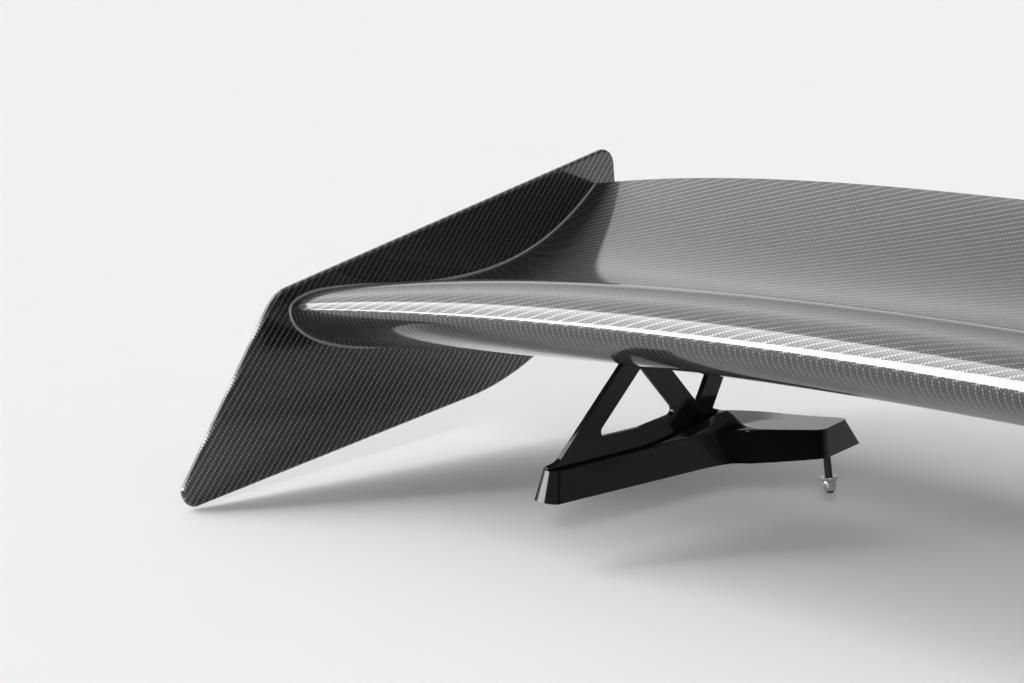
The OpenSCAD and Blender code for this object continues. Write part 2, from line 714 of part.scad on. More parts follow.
// The stud stands square to the rising underside of the arm
stud_x = -upright_x + 58.5;
stud_y = leg_l + 44;
stud_boss_r = stud_d / 2 + 5;
toe_boss_r = stud_d / 2 + 4;
stud_insert_r = stud_d / 2 + insert_wall;
insert_l = 14;

module at_stud() {
  translate([stud_x, stud_y, under_z(stud_x)]) rotate([0, -arm_rise, 0]) children();
}

screw_head_r = 4.4;
screw_boss_h = 9;     // length of the bosses under the foot's top

module foot() {
  difference() {
    union() {
      difference() {
        loft([for (s = foot_stations) foot_ring(s)]);
        loft([for (s = hollow_stations) hollow_ring(s)]);
      }
      translate([-upright_x, 0, 0]) cylinder(r = toe_boss_r, h = foot_h - foot_wall / 2);
      at_stud() cylinder(r = stud_boss_r, h = foot_h - foot_wall * 0.9);
      at_foot_screws() translate([0, 0, -screw_boss_h])
        cylinder(r = screw_head_r + 1.2, h = screw_boss_h - foot_wall / 2);
    }
    translate([-upright_x, 0, -1]) cylinder(r = stud_insert_r + bond_gap, h = insert_l + 1);
    at_stud() translate([0, 0, -10]) cylinder(r = stud_insert_r + bond_gap, h = insert_l + 10);
    at_foot_screws() {
      translate([0, 0, -foot_h]) cylinder(r = screw_d / 2 + screw_fit, h = foot_h + 2);
      translate([0, 0, -screw_boss_h - foot_h]) cylinder(r = screw_head_r + 0.3, h = foot_h);
    }
  }
}

// Cap heads against the bosses, up through the foot into the rail of the upright
module foot_screws() {
  head_h = screw_d;
  at_foot_screws() translate([0, 0, -screw_boss_h - seat_gap]) difference() {
    union() {
      translate([0, 0, -head_h]) cylinder(r = screw_head_r, h = head_h);
      cylinder(d = screw_d, h = screw_boss_h - 1.2);
      cylinder(r = screw_d * thread_share / 2 - thread_fit, h = screw_boss_h + foot_screw_bite);
    }
    translate([0, 0, -head_h - 1]) cylinder(d = screw_d * 0.92, h = 1 + head_h * 0.55, $fn = 6);
  }
}

module threaded_insert() {
  difference() {
    cylinder(r = stud_insert_r, h = insert_l);
    translate([0, 0, -1]) cylinder(r = stud_d * thread_share / 2, h = insert_l - 1);
  }
}

module toe_insert() {
  translate([-upright_x, 0, 0]) threaded_insert();
}

module stud_insert() {
  at_stud() threaded_insert();
}

module stud() {
  tip = 0.8;
  at_stud() {
    translate([0, 0, -0.2]) cylinder(r = stud_d * thread_share / 2 - thread_fit, h = insert_l - 2);
    translate([0, 0, -stud_reach + tip]) cylinder(d = stud_d, h = stud_reach - tip - 0.1);
    translate([0, 0, -stud_reach]) cylinder(d1 = stud_d - 2 * tip, d2 = stud_d, h = tip);
  }
}

// ---- Washers and nut on the stud -------------------------------------------

module washer(d, t) {
  difference() {
    cylinder(d = d, h = t);
    translate([0, 0, -1]) cylinder(r = stud_d / 2 + washer_fit, h = t + 2);
  }
}

module wide_washer() {
  at_stud() translate([0, 0, -washer_drop - washer_t]) washer(wide_washer_d, washer_t);
}

module small_washer() {
  at_stud() translate([0, 0, -washer_drop - washer_t - stack_gap - small_washer_t])
    washer(small_washer_d, small_washer_t);
}

// Hexagon with a smooth collar for the locking ring, collar downwards
module lock_nut() {
  collar_h = 2.2;
  top = -washer_drop - washer_t - small_washer_t - 2 * stack_gap;
  corner_r = nut_af / sqrt(3);
  at_stud() translate([0, 0, top - nut_h - collar_h]) difference() {
    intersection() {
      union() {
        translate([0, 0, collar_h]) cylinder(r = corner_r, h = nut_h, $fn = 6);
        translate([0, 0, 1]) cylinder(d = nut_af * 0.92, h = collar_h);
        cylinder(d1 = nut_af * 0.72, d2 = nut_af * 0.92, h = 1.01);
      }
      cylinder(r1 = corner_r * 0.82, r2 = corner_r * 1.5, h = (nut_h + collar_h) * 1.5);
      translate([0, 0, -corner_r * 2]) cylinder(r1 = corner_r * 2.6, r2 = nut_af / 2 * 0.96,
        h = corner_r * 2 + nut_h + collar_h);
    }
    translate([0, 0, -1]) cylinder(r = stud_d / 2 + nut_fit, h = nut_h + collar_h + 2);
  }
}

// ---- Assembly --------------------------------------------------------------

carbon = [0.15, 0.15, 0.16];
gloss_black = [0.04, 0.04, 0.04];
steel = [0.75, 0.75, 0.76];
brass = [0.72, 0.6, 0.32];
alloy = [0.7, 0.71, 0.72];

color(carbon) blade_skin(true);  // blade_upper_skin
color(carbon) blade_skin(false);  // blade_lower_skin
color(carbon) spar(front_spar_y, -1);  // front_spar
color(carbon) spar(rear_spar_y, 1);  // rear_spar
color(carbon) on_side("left") tip_rib();  // left_tip_rib
color(carbon) on_side("right") tip_rib();  // right_tip_rib
color(brass) on_side("left") tip_inserts();  // left_tip_inserts
color(brass) on_side("right") tip_inserts();  // right_tip_inserts
color(alloy) on_side("left") hard_point();  // left_hard_point
color(alloy) on_side("right") hard_point();  // right_hard_point
color(carbon) on_side("left") end_plate();  // left_end_plate
color(carbon) on_side("right") end_plate();  // right_end_plate
color(steel) on_side("left") end_plate_screws();  // left_end_plate_screws
color(steel) on_side("right") end_plate_screws();  // right_end_plate_screws
color(gloss_black) on_side("left") upright();  // left_upright
color(gloss_black) on_side("right") upright();  // right_upright
color(steel) on_side("left") blade_screws();  // left_blade_screws
color(steel) on_side("right") blade_screws();  // right_blade_screws
color(gloss_black) on_side("left") foot();  // left_foot
color(gloss_black) on_side("right") foot();  // right_foot
color(steel) on_side("left") foot_screws();  // left_foot_screws
color(steel) on_side("right") foot_screws();  // right_foot_screws
color(brass) on_side("left") toe_insert();  // left_toe_insert
color(brass) on_side("right") toe_insert();  // right_toe_insert
color(brass) on_side("left") stud_insert();  // left_stud_insert
color(brass) on_side("right") stud_insert();  // right_stud_insert
color(gloss_black) on_side("left") stud();  // left_stud
color(gloss_black) on_side("right") stud();  // right_stud
color(steel) on_side("left") wide_washer();  // left_wide_washer
color(steel) on_side("right") wide_washer();  // right_wide_washer
color(steel) on_side("left") small_washer();  // left_small_washer
color(steel) on_side("right") small_washer();  // right_small_washer
color(steel) on_side("left") lock_nut();  // left_lock_nut
color(steel) on_side("right") lock_nut();  // right_lock_nut
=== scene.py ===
"""Looks of the racing rear wing: carbon blade and end plates on black uprights and feet."""

import json
import logging
import math
from dataclasses import dataclass, field
from enum import Enum
from typing import Sequence

import bmesh
import bpy
import numpy as np
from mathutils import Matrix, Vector


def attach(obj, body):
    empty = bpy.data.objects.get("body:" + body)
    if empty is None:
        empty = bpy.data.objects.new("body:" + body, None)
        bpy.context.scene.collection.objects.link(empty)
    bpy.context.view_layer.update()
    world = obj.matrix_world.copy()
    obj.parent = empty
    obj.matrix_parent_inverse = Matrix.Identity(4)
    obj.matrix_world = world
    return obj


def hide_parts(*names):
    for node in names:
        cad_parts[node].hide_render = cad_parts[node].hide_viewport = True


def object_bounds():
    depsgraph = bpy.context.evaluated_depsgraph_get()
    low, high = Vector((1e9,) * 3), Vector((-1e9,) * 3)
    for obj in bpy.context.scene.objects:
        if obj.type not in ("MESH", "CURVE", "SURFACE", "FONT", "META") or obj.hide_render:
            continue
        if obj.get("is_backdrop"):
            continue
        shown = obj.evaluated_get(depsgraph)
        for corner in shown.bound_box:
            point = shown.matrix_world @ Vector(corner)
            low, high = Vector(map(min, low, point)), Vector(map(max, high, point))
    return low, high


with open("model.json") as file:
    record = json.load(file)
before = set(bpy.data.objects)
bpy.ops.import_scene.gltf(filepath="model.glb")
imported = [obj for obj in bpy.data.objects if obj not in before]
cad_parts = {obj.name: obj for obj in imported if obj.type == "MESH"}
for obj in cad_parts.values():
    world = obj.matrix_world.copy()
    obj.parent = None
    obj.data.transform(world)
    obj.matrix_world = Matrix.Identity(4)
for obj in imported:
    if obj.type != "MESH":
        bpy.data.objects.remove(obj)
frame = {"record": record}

log = logging.getLogger("rear_wing")

MM = 0.001
Socket = bpy.types.NodeSocket
Input = float | Sequence[float] | Socket | None
Length = float | np.ndarray
Point = Sequence[float]


# ---- Node trees ------------------------------------------------------------


class Graph:
    """A node tree under construction, with one call for each node."""

    def __init__(self, tree: bpy.types.NodeTree) -> None:
        """Starts on an empty node tree."""
        self.tree = tree

    def add(self, kind: str, *inputs: Input, **settings: object) -> bpy.types.Node:
        """Adds a node and wires it up.

        Args:
            kind: Its type, without ShaderNode.
            *inputs: What its first sockets get, in order.
            **settings: Properties of the node.

        Returns:
            The new node.
        """
        node = self.tree.nodes.new("ShaderNode" + kind)
        for key, value in settings.items():
            setattr(node, key, value)
        for socket, value in zip(node.inputs, inputs):
            self.feed(socket, value)
        return node

    def feed(self, socket: Socket, value: Input) -> None:
        """Links an output to a socket, or sets the socket's own value.

        Args:
            socket: The input to feed.
            value: An output, a constant, or None to leave the socket alone.
        """
        if isinstance(value, bpy.types.NodeSocket):
            self.tree.links.new(value, socket)
        elif value is not None:
            socket.default_value = value

    def math(self, operation: str, *inputs: Input) -> Socket:
        """Result of a Math node."""
        return self.add("Math", *inputs, operation=operation).outputs[0]

    def mix(self, share: Input, a: Input, b: Input) -> Socket:
        """Blends two numbers by a share."""
        return self.add("Mix", share, None, a, b, data_type="FLOAT").outputs[0]

    def colour(self, share: Input, a: Input, b: Input, how: str = "MIX") -> Socket:
        """Blends two colours.

        Args:
            share: 0 for a, 1 for b.
            a: The first colour.
            b: The second colour.
            how: The blend type.

        Returns:
            The blended colour.
        """
        node = self.add("Mix", share, data_type="RGBA", blend_type=how)
        self.feed(node.inputs[6], a)
        self.feed(node.inputs[7], b)
        return node.outputs[2]

    def noise(self, vector: Socket, scale: float, detail: float = 3.0, rough: float = 0.5) -> Socket:
        """Noise over a place.

        Args:
            vector: Where the noise is read.
            scale: Cells to a unit of the place.
            detail: Octaves.
            rough: How much the finer octaves weigh.

        Returns:
            A number about 0.5.
        """
        node = self.add("TexNoise", vector)
        node.inputs["Scale"].default_value = scale
        node.inputs["Detail"].default_value = detail
        node.inputs["Roughness"].default_value = rough
        return node.outputs[0]

    def ramp(self, value: Input, low: float, high: float, to_low: float = 0.0,
             to_high: float = 1.0) -> Socket:
        """Maps a range of a number onto another, clamped and smoothed."""
        node = self.add("MapRange", value, low, high, to_low, to_high, interpolation_type="SMOOTHSTEP")
        return node.outputs[0]

    def curve(self, value: Input, points: Sequence[tuple[float, float]]) -> Socket:
        """Reads a number off straight lines between points.

        Args:
            value: Where to read.
            points: Places and levels, in rising order of place.

        Returns:
            The level there, and 0 beyond the points.
        """
        start, end, top = points[0][0], points[-1][0], max(level for _, level in points)
        share = self.add("MapRange", value, start, end, 0.0, 1.0).outputs[0]
        node = self.add("ValToRGB", share)
        stops = node.color_ramp.elements
        for k, (at, level) in enumerate(points):
            stop = stops[k] if k < 2 else stops.new(1.0)
            stop.position = (at - start) / (end - start)
            stop.color = (level / top,) * 3 + (1.0,)
        after, before = self.math("GREATER_THAN", value, start), self.math("LESS_THAN", value, end)
        inside = self.math("MULTIPLY", after, before)
        return self.math("MULTIPLY", self.math("MULTIPLY", node.outputs[0], top), inside)

    def window(self, value: Input, low: float, high: float, soft: float) -> Socket:
        """1 where a number lies between low and high, with edges of a given softness."""
        rise = self.ramp(value, low - soft, low + soft)
        return self.math("MULTIPLY", rise, self.ramp(value, high + soft, high - soft))

    def scaled(self, vector: Socket, scale: Point) -> Socket:
        """Stretches a place.

        Args:
            vector: The place.
            scale: A factor for each axis.

        Returns:
            The stretched place.
        """
        node = self.add("Mapping", vector)
        node.inputs["Scale"].default_value = scale
        return node.outputs[0]


class NodeGroups:
    """Shared effects, each built once as a node group."""

    def __init__(self) -> None:
        """Starts with no group built."""
        self.made: dict[str, bpy.types.NodeTree] = {}

    def _new(self, name: str, inputs: dict[str, str], outputs: dict[str, str]) -> tuple[
            bpy.types.NodeTree, Graph, bpy.types.NodeOutputs, bpy.types.NodeInputs]:
        """Makes an empty group with its sockets.

        Args:
            name: Its name.
            inputs: Names and kinds of its inputs.
            outputs: Names and kinds of its outputs.

        Returns:
            The tree, its graph, what comes in and what goes out.
        """
        tree = bpy.data.node_groups.new(name, "ShaderNodeTree")
        for way, sockets in (("INPUT", inputs), ("OUTPUT", outputs)):
            for label, kind in sockets.items():
                tree.interface.new_socket(label, in_out=way, socket_type="NodeSocket" + kind)
        graph = Graph(tree)
        start = tree.nodes.new("NodeGroupInput").outputs
        end = tree.nodes.new("NodeGroupOutput").inputs
        return tree, graph, start, end

    def get(self, name: str) -> bpy.types.NodeTree:
        """Looks a group up, and builds it on first use.

        Args:
            name: twill or smudge.

        Returns:
            The group's tree.
        """
        if name not in self.made:
            self.made[name] = getattr(self, "_" + name)()
        return self.made[name]

    def _twill(self) -> bpy.types.NodeTree:
        """A 2x2 twill, one tow to a unit of Place.

        Returns:
            A group giving which tow is on top, its height, its fibres, and a painted highlight mask that is
            1 at the middle of each float and 0 at its ends and edges.
        """
        repeat, over, edge_power, arch_rise, edge_fall, highlight_power = 4.0, 1.5, 2.5, 0.8, 0.55, 1.4
        outputs = dict.fromkeys(("Warp", "Height", "Fibre", "FloatHighlight"), "Float")
        tree, g, start, end = self._new("twill", {"Place": "Vector"}, outputs)
        xyz = g.add("SeparateXYZ", start[0]).outputs
        u, v = xyz[0], xyz[1]
        i, j = g.math("FLOOR", u), g.math("FLOOR", v)
        step = g.math("FLOORED_MODULO", g.math("SUBTRACT", i, j), repeat)
        warp = g.math("LESS_THAN", step, over)
        along_warp = g.math("FLOORED_MODULO", g.math("ADD", g.math("SUBTRACT", v, i), 1.0), repeat)
        behind = g.math("SUBTRACT", g.math("SUBTRACT", u, j), 2.0)
        along_weft = g.math("FLOORED_MODULO", behind, repeat)
        heights, float_highlights = [], []
        for across, along in ((u, along_warp), (v, along_weft)):
            centred = g.math("SUBTRACT", g.math("FRACT", across), 0.5)
            flat = g.math("POWER", g.math("ABSOLUTE", g.math("MULTIPLY", centred, 2.0)), edge_power)
            arch = g.math("SINE", g.math("MULTIPLY", along, math.pi / 2))
            rise, fall = g.math("MULTIPLY", arch, arch_rise), g.math("MULTIPLY", flat, edge_fall)
            heights.append(g.math("SUBTRACT", rise, fall))
            # Painted highlight mask: 1 at the middle of a float, falling to 0 at its ends and edges.
            lit = g.math("POWER", g.math("MAXIMUM", arch, 0.0), highlight_power)
            float_highlights.append(g.math("MULTIPLY", lit, g.math("SUBTRACT", 1.0, flat)))
        height = g.mix(warp, heights[1], heights[0])
        fine = [g.noise(g.scaled(start[0], s), 1.0, 2.0, 0.6) for s in ((9.0, 0.35, 1.0), (0.35, 9.0, 1.0))]
        g.feed(end[0], warp)
        g.feed(end[1], height)
        g.feed(end[2], g.mix(warp, fine[1], fine[0]))
        g.feed(end[3], g.mix(warp, float_highlights[1], float_highlights[0]))
        return tree

    def _smudge(self) -> bpy.types.NodeTree:
        """Faint unevenness of a polished or painted skin.

        Returns:
            A group giving the unevenness as a share and as a height.
        """
        tree, g, start, end = self._new("smudge", {"Place": "Vector"}, {"Share": "Float", "Height": "Float"})
        broad = g.noise(start[0], 9.0, 2.0)
        fine = g.noise(start[0], 160.0, 3.0, 0.6)
        g.feed(end[0], g.ramp(g.mix(0.35, broad, fine), 0.35, 0.68))
        g.feed(end[1], g.mix(0.25, broad, fine))
        return tree


GROUPS = NodeGroups()
MATERIALS: dict[str, bpy.types.Material] = {}


# ---- Finishes --------------------------------------------------------------


@dataclass(frozen=True)
class Finish:
    """A surface finish that makes one material."""

    name: str
    colour: tuple[float, float, float]
    roughness: float
    metallic: float = 0.0
    slot: str = ""

    def material(self) -> bpy.types.Material:
        """Builds the material on first use.

        Returns:
            The material.
        """
        if self.name in MATERIALS:
            return MATERIALS[self.name]
        made = MATERIALS[self.name] = bpy.data.materials.new(f"{self.name}_finish")
        made.use_nodes = True
        made.node_tree.nodes.clear()
        g = Graph(made.node_tree)
        shader = g.add("BsdfPrincipled")
        shader.inputs["Base Color"].default_value = (*self.colour, 1.0)
        shader.inputs["Roughness"].default_value = self.roughness
        shader.inputs["Metallic"].default_value = self.metallic
        self.dress(g, shader.inputs)
        out = g.add("OutputMaterial", shader.outputs[0])
        out.is_active_output = True
        made.diffuse_color = (*self.colour, 1.0)
        return made

    def dress(self, g: Graph, inputs: bpy.types.NodeInputs) -> None:
        """Wires colour, roughness and relief; each kind of finish has its own."""
        raise NotImplementedError

    @staticmethod
    def use(g: Graph, name: str, place: Socket) -> bpy.types.Node:
        """Places a shared group in a material.

        Args:
            g: The graph of the material.
            name: The group.
            place: The place that it reads.

        Returns:
            The group's node.
        """
        node = g.tree.nodes.new("ShaderNodeGroup")
        node.node_tree = GROUPS.get(name)
        g.feed(node.inputs[0], place)
        return node

    @staticmethod
    def bump(g: Graph, height: Socket, strength: float, distance: float) -> Socket:
        """Turns a height into a normal.

        Args:
            g: The graph of the material.
            height: The height, from 0 to 1.
            strength: How much of it shows.
            distance: Its depth in metres.

        Returns:
            The normal.
        """
        node = g.add("Bump")
        node.inputs["Strength"].default_value = strength
        node.inputs["Distance"].default_value = distance
        g.feed(node.inputs["Height"], height)
        return node.outputs[0]


@dataclass(frozen=True)
class CarbonTwill(Finish):
    """Woven carbon in resin; with coat 1 it lies under a polished clear coat.

    colour is a painted highlight, given to the tows that catch the light, and the other tow colour is
    painted shade, given to the tows across them; both are the same carbon.
    """

    shaded_tow_colour: tuple[float, float, float] = (0.022, 0.022, 0.023)
    coat: float = 1.0
    tow: float = 1.92 * MM
    relief: float = 0.12 * MM
    print_through: float = 0.010 * MM
    gap_and_shade_colour: tuple[float, float, float] = (0.012, 0.012, 0.012)
    fibre_spread: tuple[float, float] = (0.7, 1.3)
    dulling: float = 0.06
    coat_roughness: float = 0.02
    coat_ior: float = 1.7

    def dress(self, g: Graph, inputs: bpy.types.NodeInputs) -> None:
        """Wires the weave and its clear coat.

        Args:
            g: The graph of the material.
            inputs: The shader's inputs.
        """
        uv = g.add("UVMap", uv_map="weave").outputs[0]
        place = g.scaled(uv, (1 / self.tow, 1 / self.tow, 1.0))
        weave = self.use(g, "twill", place).outputs
        # Painted highlight and shade: warp tows take the lit colour and weft tows the shaded colour, though
        # both are the same carbon.
        base = g.colour(weave["Warp"], (*self.shaded_tow_colour, 1.0), (*self.colour, 1.0))
        base = g.colour(1.0, base, g.ramp(weave["Fibre"], 0.3, 0.75, *self.fibre_spread), "MULTIPLY")
        # Painted highlight at the middle of each float, fading to painted shade at its ends and edges; the
        # dark at tow edges is partly real resin.
        base = g.colour(weave["FloatHighlight"], (*self.gap_and_shade_colour, 1.0), base)
        g.feed(inputs["Base Color"], base)
        g.feed(inputs["Normal"], self.bump(g, weave["Height"], 1.0, self.relief))
        smudge = self.use(g, "smudge", g.add("TexCoord").outputs["Object"]).outputs
        g.feed(inputs["Roughness"], g.mix(smudge["Share"], self.roughness, self.roughness + self.dulling))
        inputs["Coat Weight"].default_value = self.coat
        inputs["Coat Roughness"].default_value = self.coat_roughness
        inputs["Coat IOR"].default_value = self.coat_ior
        g.feed(inputs["Coat Normal"], self.bump(g, weave["Height"], 1.0, self.print_through))


@dataclass(frozen=True)
class Painted(Finish):
    """Smooth paint or powder coat with a trace of orange peel."""

    peel: float = 0.04
    peel_scale: float = 900.0
    coat: float = 0.0
    coat_roughness: float = 0.03
    level: float = 0.5
    dulling: float = 0.05
    lift: float = 1.25

    def dress(self, g: Graph, inputs: bpy.types.NodeInputs) -> None:
        """Wires the paint's slight unevenness and peel.

        Args:
            g: The graph of the material.
            inputs: The shader's inputs.
        """
        place = g.add("TexCoord").outputs["Object"]
        smudge = self.use(g, "smudge", place).outputs
        g.feed(inputs["Roughness"], g.mix(smudge["Share"], self.roughness, self.roughness + self.dulling))
        g.feed(inputs["Base Color"], g.colour(smudge["Share"], (*self.colour, 1.0),
                                              (*(c * self.lift for c in self.colour), 1.0)))
        peel = g.noise(place, self.peel_scale, 1.0)
        g.feed(inputs["Normal"], self.bump(g, peel, self.peel, 0.3 * MM))
        inputs["Specular IOR Level"].default_value = self.level
        inputs["Coat Weight"].default_value = self.coat
        inputs["Coat Roughness"].default_value = self.coat_roughness


@dataclass(frozen=True)
class Metal(Finish):
    """Turned, milled or plated metal with fine marks and a little dulling."""

    marks: float = 1400.0
    stretch: tuple[float, float, float] = (1.0, 1.0, 1.0)
    polish: tuple[float, float] = (-0.06, 0.1)
    dull: float = 0.8
    mark_depth: float = 0.12

    def dress(self, g: Graph, inputs: bpy.types.NodeInputs) -> None:
        """Wires the tool marks and the dulling.

        Args:
            g: The graph of the material.
            inputs: The shader's inputs.
        """
        place = g.add("TexCoord").outputs["Object"]
        marks = g.noise(g.scaled(place, self.stretch), self.marks, 2.0)
        smudge = self.use(g, "smudge", place).outputs
        g.feed(inputs["Roughness"], g.mix(marks, *(self.roughness + p for p in self.polish)))
        dull = tuple(c * self.dull for c in self.colour)
        g.feed(inputs["Base Color"], g.colour(smudge["Share"], (*self.colour, 1.0), (*dull, 1.0)))
        g.feed(inputs["Normal"], self.bump(g, marks, self.mark_depth, 0.1 * MM))


CARBON = CarbonTwill("carbon_twill", (0.25, 0.25, 0.254), 0.42, 1.0, "carbon")
BLADE_CARBON = CarbonTwill("blade_twill", (0.23, 0.23, 0.234), 0.42, 1.0, "carbon",
                           shaded_tow_colour=(0.10, 0.10, 0.102))
# The bead's pale grey is a painted highlight standing in for the bright line along the joint; the resin
# fillet itself is real.
RESIN_WITH_PAINTED_HIGHLIGHT = Painted("resin_painted_highlight", (0.2, 0.2, 0.2), 0.12, 0.0, "carbon", coat=1.0)
BARE_CARBON = CarbonTwill("bare_carbon", (0.09, 0.09, 0.092), 0.5, 1.0, "bare_carbon", coat=0.0)
GLOSS_BLACK = Painted("gloss_black", (0.0025, 0.0025, 0.003), 0.05, 0.0, "gloss_black", level=0.3)
BLACK_STEEL = Metal("black_steel", (0.045, 0.045, 0.048), 0.38, 0.85, "black_steel")
ZINC = Metal("zinc_steel", (0.46, 0.465, 0.475), 0.3, 1.0, "steel")
BRASS = Metal("turned_brass", (0.72, 0.56, 0.30), 0.28, 1.0, "brass", stretch=(1, 1, 8))
ALLOY = Metal("milled_alloy", (0.70, 0.71, 0.72), 0.33, 1.0, "alloy", stretch=(1, 6, 1))
FINISHES: dict[str, Finish] = {
    f.slot: f for f in (CARBON, BARE_CARBON, GLOSS_BLACK, BLACK_STEEL, ZINC, BRASS, ALLOY)}


# ---- Meshes ----------------------------------------------------------------


def mesh_object(name: str, points: np.ndarray, faces: list[Sequence[int]]) -> bpy.types.Object:
    """Makes a linked object from points.

    Args:
        name: The name of the object and its mesh.
        points: Its vertices in millimetres.
        faces: Vertex numbers of each face.

    Returns:
        The object, at the origin.
    """
    mesh = bpy.data.meshes.new(name)
    mesh.from_pydata((np.asarray(points) * MM).tolist(), [], faces)
    mesh.validate()
    made = bpy.data.objects.new(name, mesh)
    bpy.context.scene.collection.objects.link(made)
    return made


def only(obj: bpy.types.Object) -> None:
    """Makes one object the selected and active one.

    Args:
        obj: The object.
    """
    bpy.ops.object.select_all(action="DESELECT")
    obj.select_set(True)
    bpy.context.view_layer.objects.active = obj


def outward(obj: bpy.types.Object) -> None:
    """Merges doubles and slivers and turns every face outwards.

    Args:
        obj: A closed mesh.
    """
    tiny = 0.003 * MM
    only(obj)
    bpy.ops.object.mode_set(mode="EDIT")
    bpy.ops.mesh.select_all(action="SELECT")
    bpy.ops.mesh.remove_doubles(threshold=tiny)
    bpy.ops.mesh.dissolve_degenerate(threshold=tiny)
    bpy.ops.mesh.select_all(action="SELECT")
    bpy.ops.mesh.normals_make_consistent(inside=False)
    bpy.ops.object.mode_set(mode="OBJECT")


def smooth(obj: bpy.types.Object, degrees: float = 30.0) -> None:
    """Shades an object smooth, apart from edges sharper than an angle."""
    only(obj)
    bpy.ops.object.shade_smooth_by_angle(angle=math.radians(degrees))


def apply_all(obj: bpy.types.Object) -> None:
    """Applies every modifier in order.

    Args:
        obj: The object.
    """
    only(obj)
    for modifier in list(obj.modifiers):
        bpy.ops.object.modifier_apply(modifier=modifier.name)


def loft(name: str, rings: np.ndarray) -> bpy.types.Object:
    """Skins a row of rings, open at its two ends.

    Args:
        name: The new object's name.
        rings: Rings of equal length, in millimetres.

    Returns:
        The skin.
    """
    count, size = rings.shape[:2]
    index = np.arange(count * size).reshape(count, size)
    a, b = index[:-1], index[1:]
    walls = np.stack([a, np.roll(a, -1, 1), np.roll(b, -1, 1), b], -1).reshape(-1, 4)
    return mesh_object(name, rings.reshape(-1, 3), walls.tolist())


def fill_ends(obj: bpy.types.Object) -> None:
    """Fills the open ends of a loft and turns its faces outwards.

    Args:
        obj: The loft.
    """
    only(obj)
    bpy.ops.object.mode_set(mode="EDIT")
    bpy.ops.mesh.select_all(action="SELECT")
    bpy.ops.mesh.fill_holes(sides=0)
    bpy.ops.mesh.normals_make_consistent(inside=False)
    bpy.ops.object.mode_set(mode="OBJECT")


def closed(name: str, rings: Sequence) -> bpy.types.Object:
    """Lofts a solid.

    Args:
        name: The new object's name.
        rings: Rings of equal length, in millimetres.

    Returns:
        The solid.
    """
    made = loft(name, np.array(rings))
    fill_ends(made)
    return made


def map_uv(obj: bpy.types.Object, places: np.ndarray, turn: float = 0.0) -> None:
    """Writes a place on the cloth for each vertex, to the layer that the weave reads.

    Args:
        obj: The piece.
        places: One (u, v) in metres for each vertex.
        turn: The angle in degrees at which the cloth is laid.
    """
    a = math.radians(turn)
    places = places @ np.array([[math.cos(a), -math.sin(a)], [math.sin(a), math.cos(a)]])
    mesh = obj.data
    layer = mesh.uv_layers.get("weave") or mesh.uv_layers.new(name="weave")
    loops = np.empty(len(mesh.loops), dtype=np.int32)
    mesh.loops.foreach_get("vertex_index", loops)
    layer.data.foreach_set("uv", places[loops].astype(np.float32).ravel())


def cut(obj: bpy.types.Object, tools: list[bpy.types.Object], operation: str = "DIFFERENCE") -> None:
    """Applies a boolean with each tool and removes the tool.

    Args:
        obj: The solid that is cut.
        tools: The solids that cut or join it.
        operation: DIFFERENCE or UNION.
    """
    for tool in tools:
        modifier = obj.modifiers.new("cut", "BOOLEAN")
        modifier.object, modifier.operation, modifier.solver = tool, operation, "EXACT"
        only(obj)
        bpy.ops.object.modifier_apply(modifier=modifier.name)
        bpy.data.objects.remove(tool, do_unlink=True)


def mirrored(obj: bpy.types.Object, name: str) -> bpy.types.Object:
    """Copies a piece to the other side of the car, at +X.

    Args:
        obj: The right side's piece.
        name: The copy's name.

    Returns:
        The copy, with its own mesh.
    """
    made = obj.copy()
    made.data = obj.data.copy()
    made.name = made.data.name = name
    bpy.context.scene.collection.objects.link(made)
    bm = bmesh.new()
    bm.from_mesh(made.data)
    bmesh.ops.scale(bm, vec=(-1.0, 1.0, 1.0), verts=bm.verts)
    bmesh.ops.reverse_faces(bm, faces=bm.faces)
    bm.to_mesh(made.data)
    bm.free()
    return made


def finish_piece(obj: bpy.types.Object, finish: Finish, body: str = "wing", *nodes: str) -> bpy.types.Object:
    """Gives a piece its material, body and the nodes that it stands for.

    Args:
        obj: The piece.
        finish: What it is made of.
        body: The body that it rides on.
        *nodes: CAD nodes that it replaces.

    Returns:
        The piece.
    """
    obj.data.materials.clear()
    obj.data.materials.append(finish.material())
    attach(obj, body)
    if nodes:
        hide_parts(*nodes)
    return obj


# ---- Blade -----------------------------------------------------------------


def blend(a: Length, b: Length, t: Length) -> Length:
    """The value a share t of the way from a to b."""
    return a + (b - a) * t


def ease(t: Length) -> Length:
    """A share that starts and ends gently."""
    return t * t * (3 - 2 * t)


class Face(Enum):
    """The blade's two faces, by the name that their skins carry."""

    UPPER = "upper"
    LOWER = "lower"


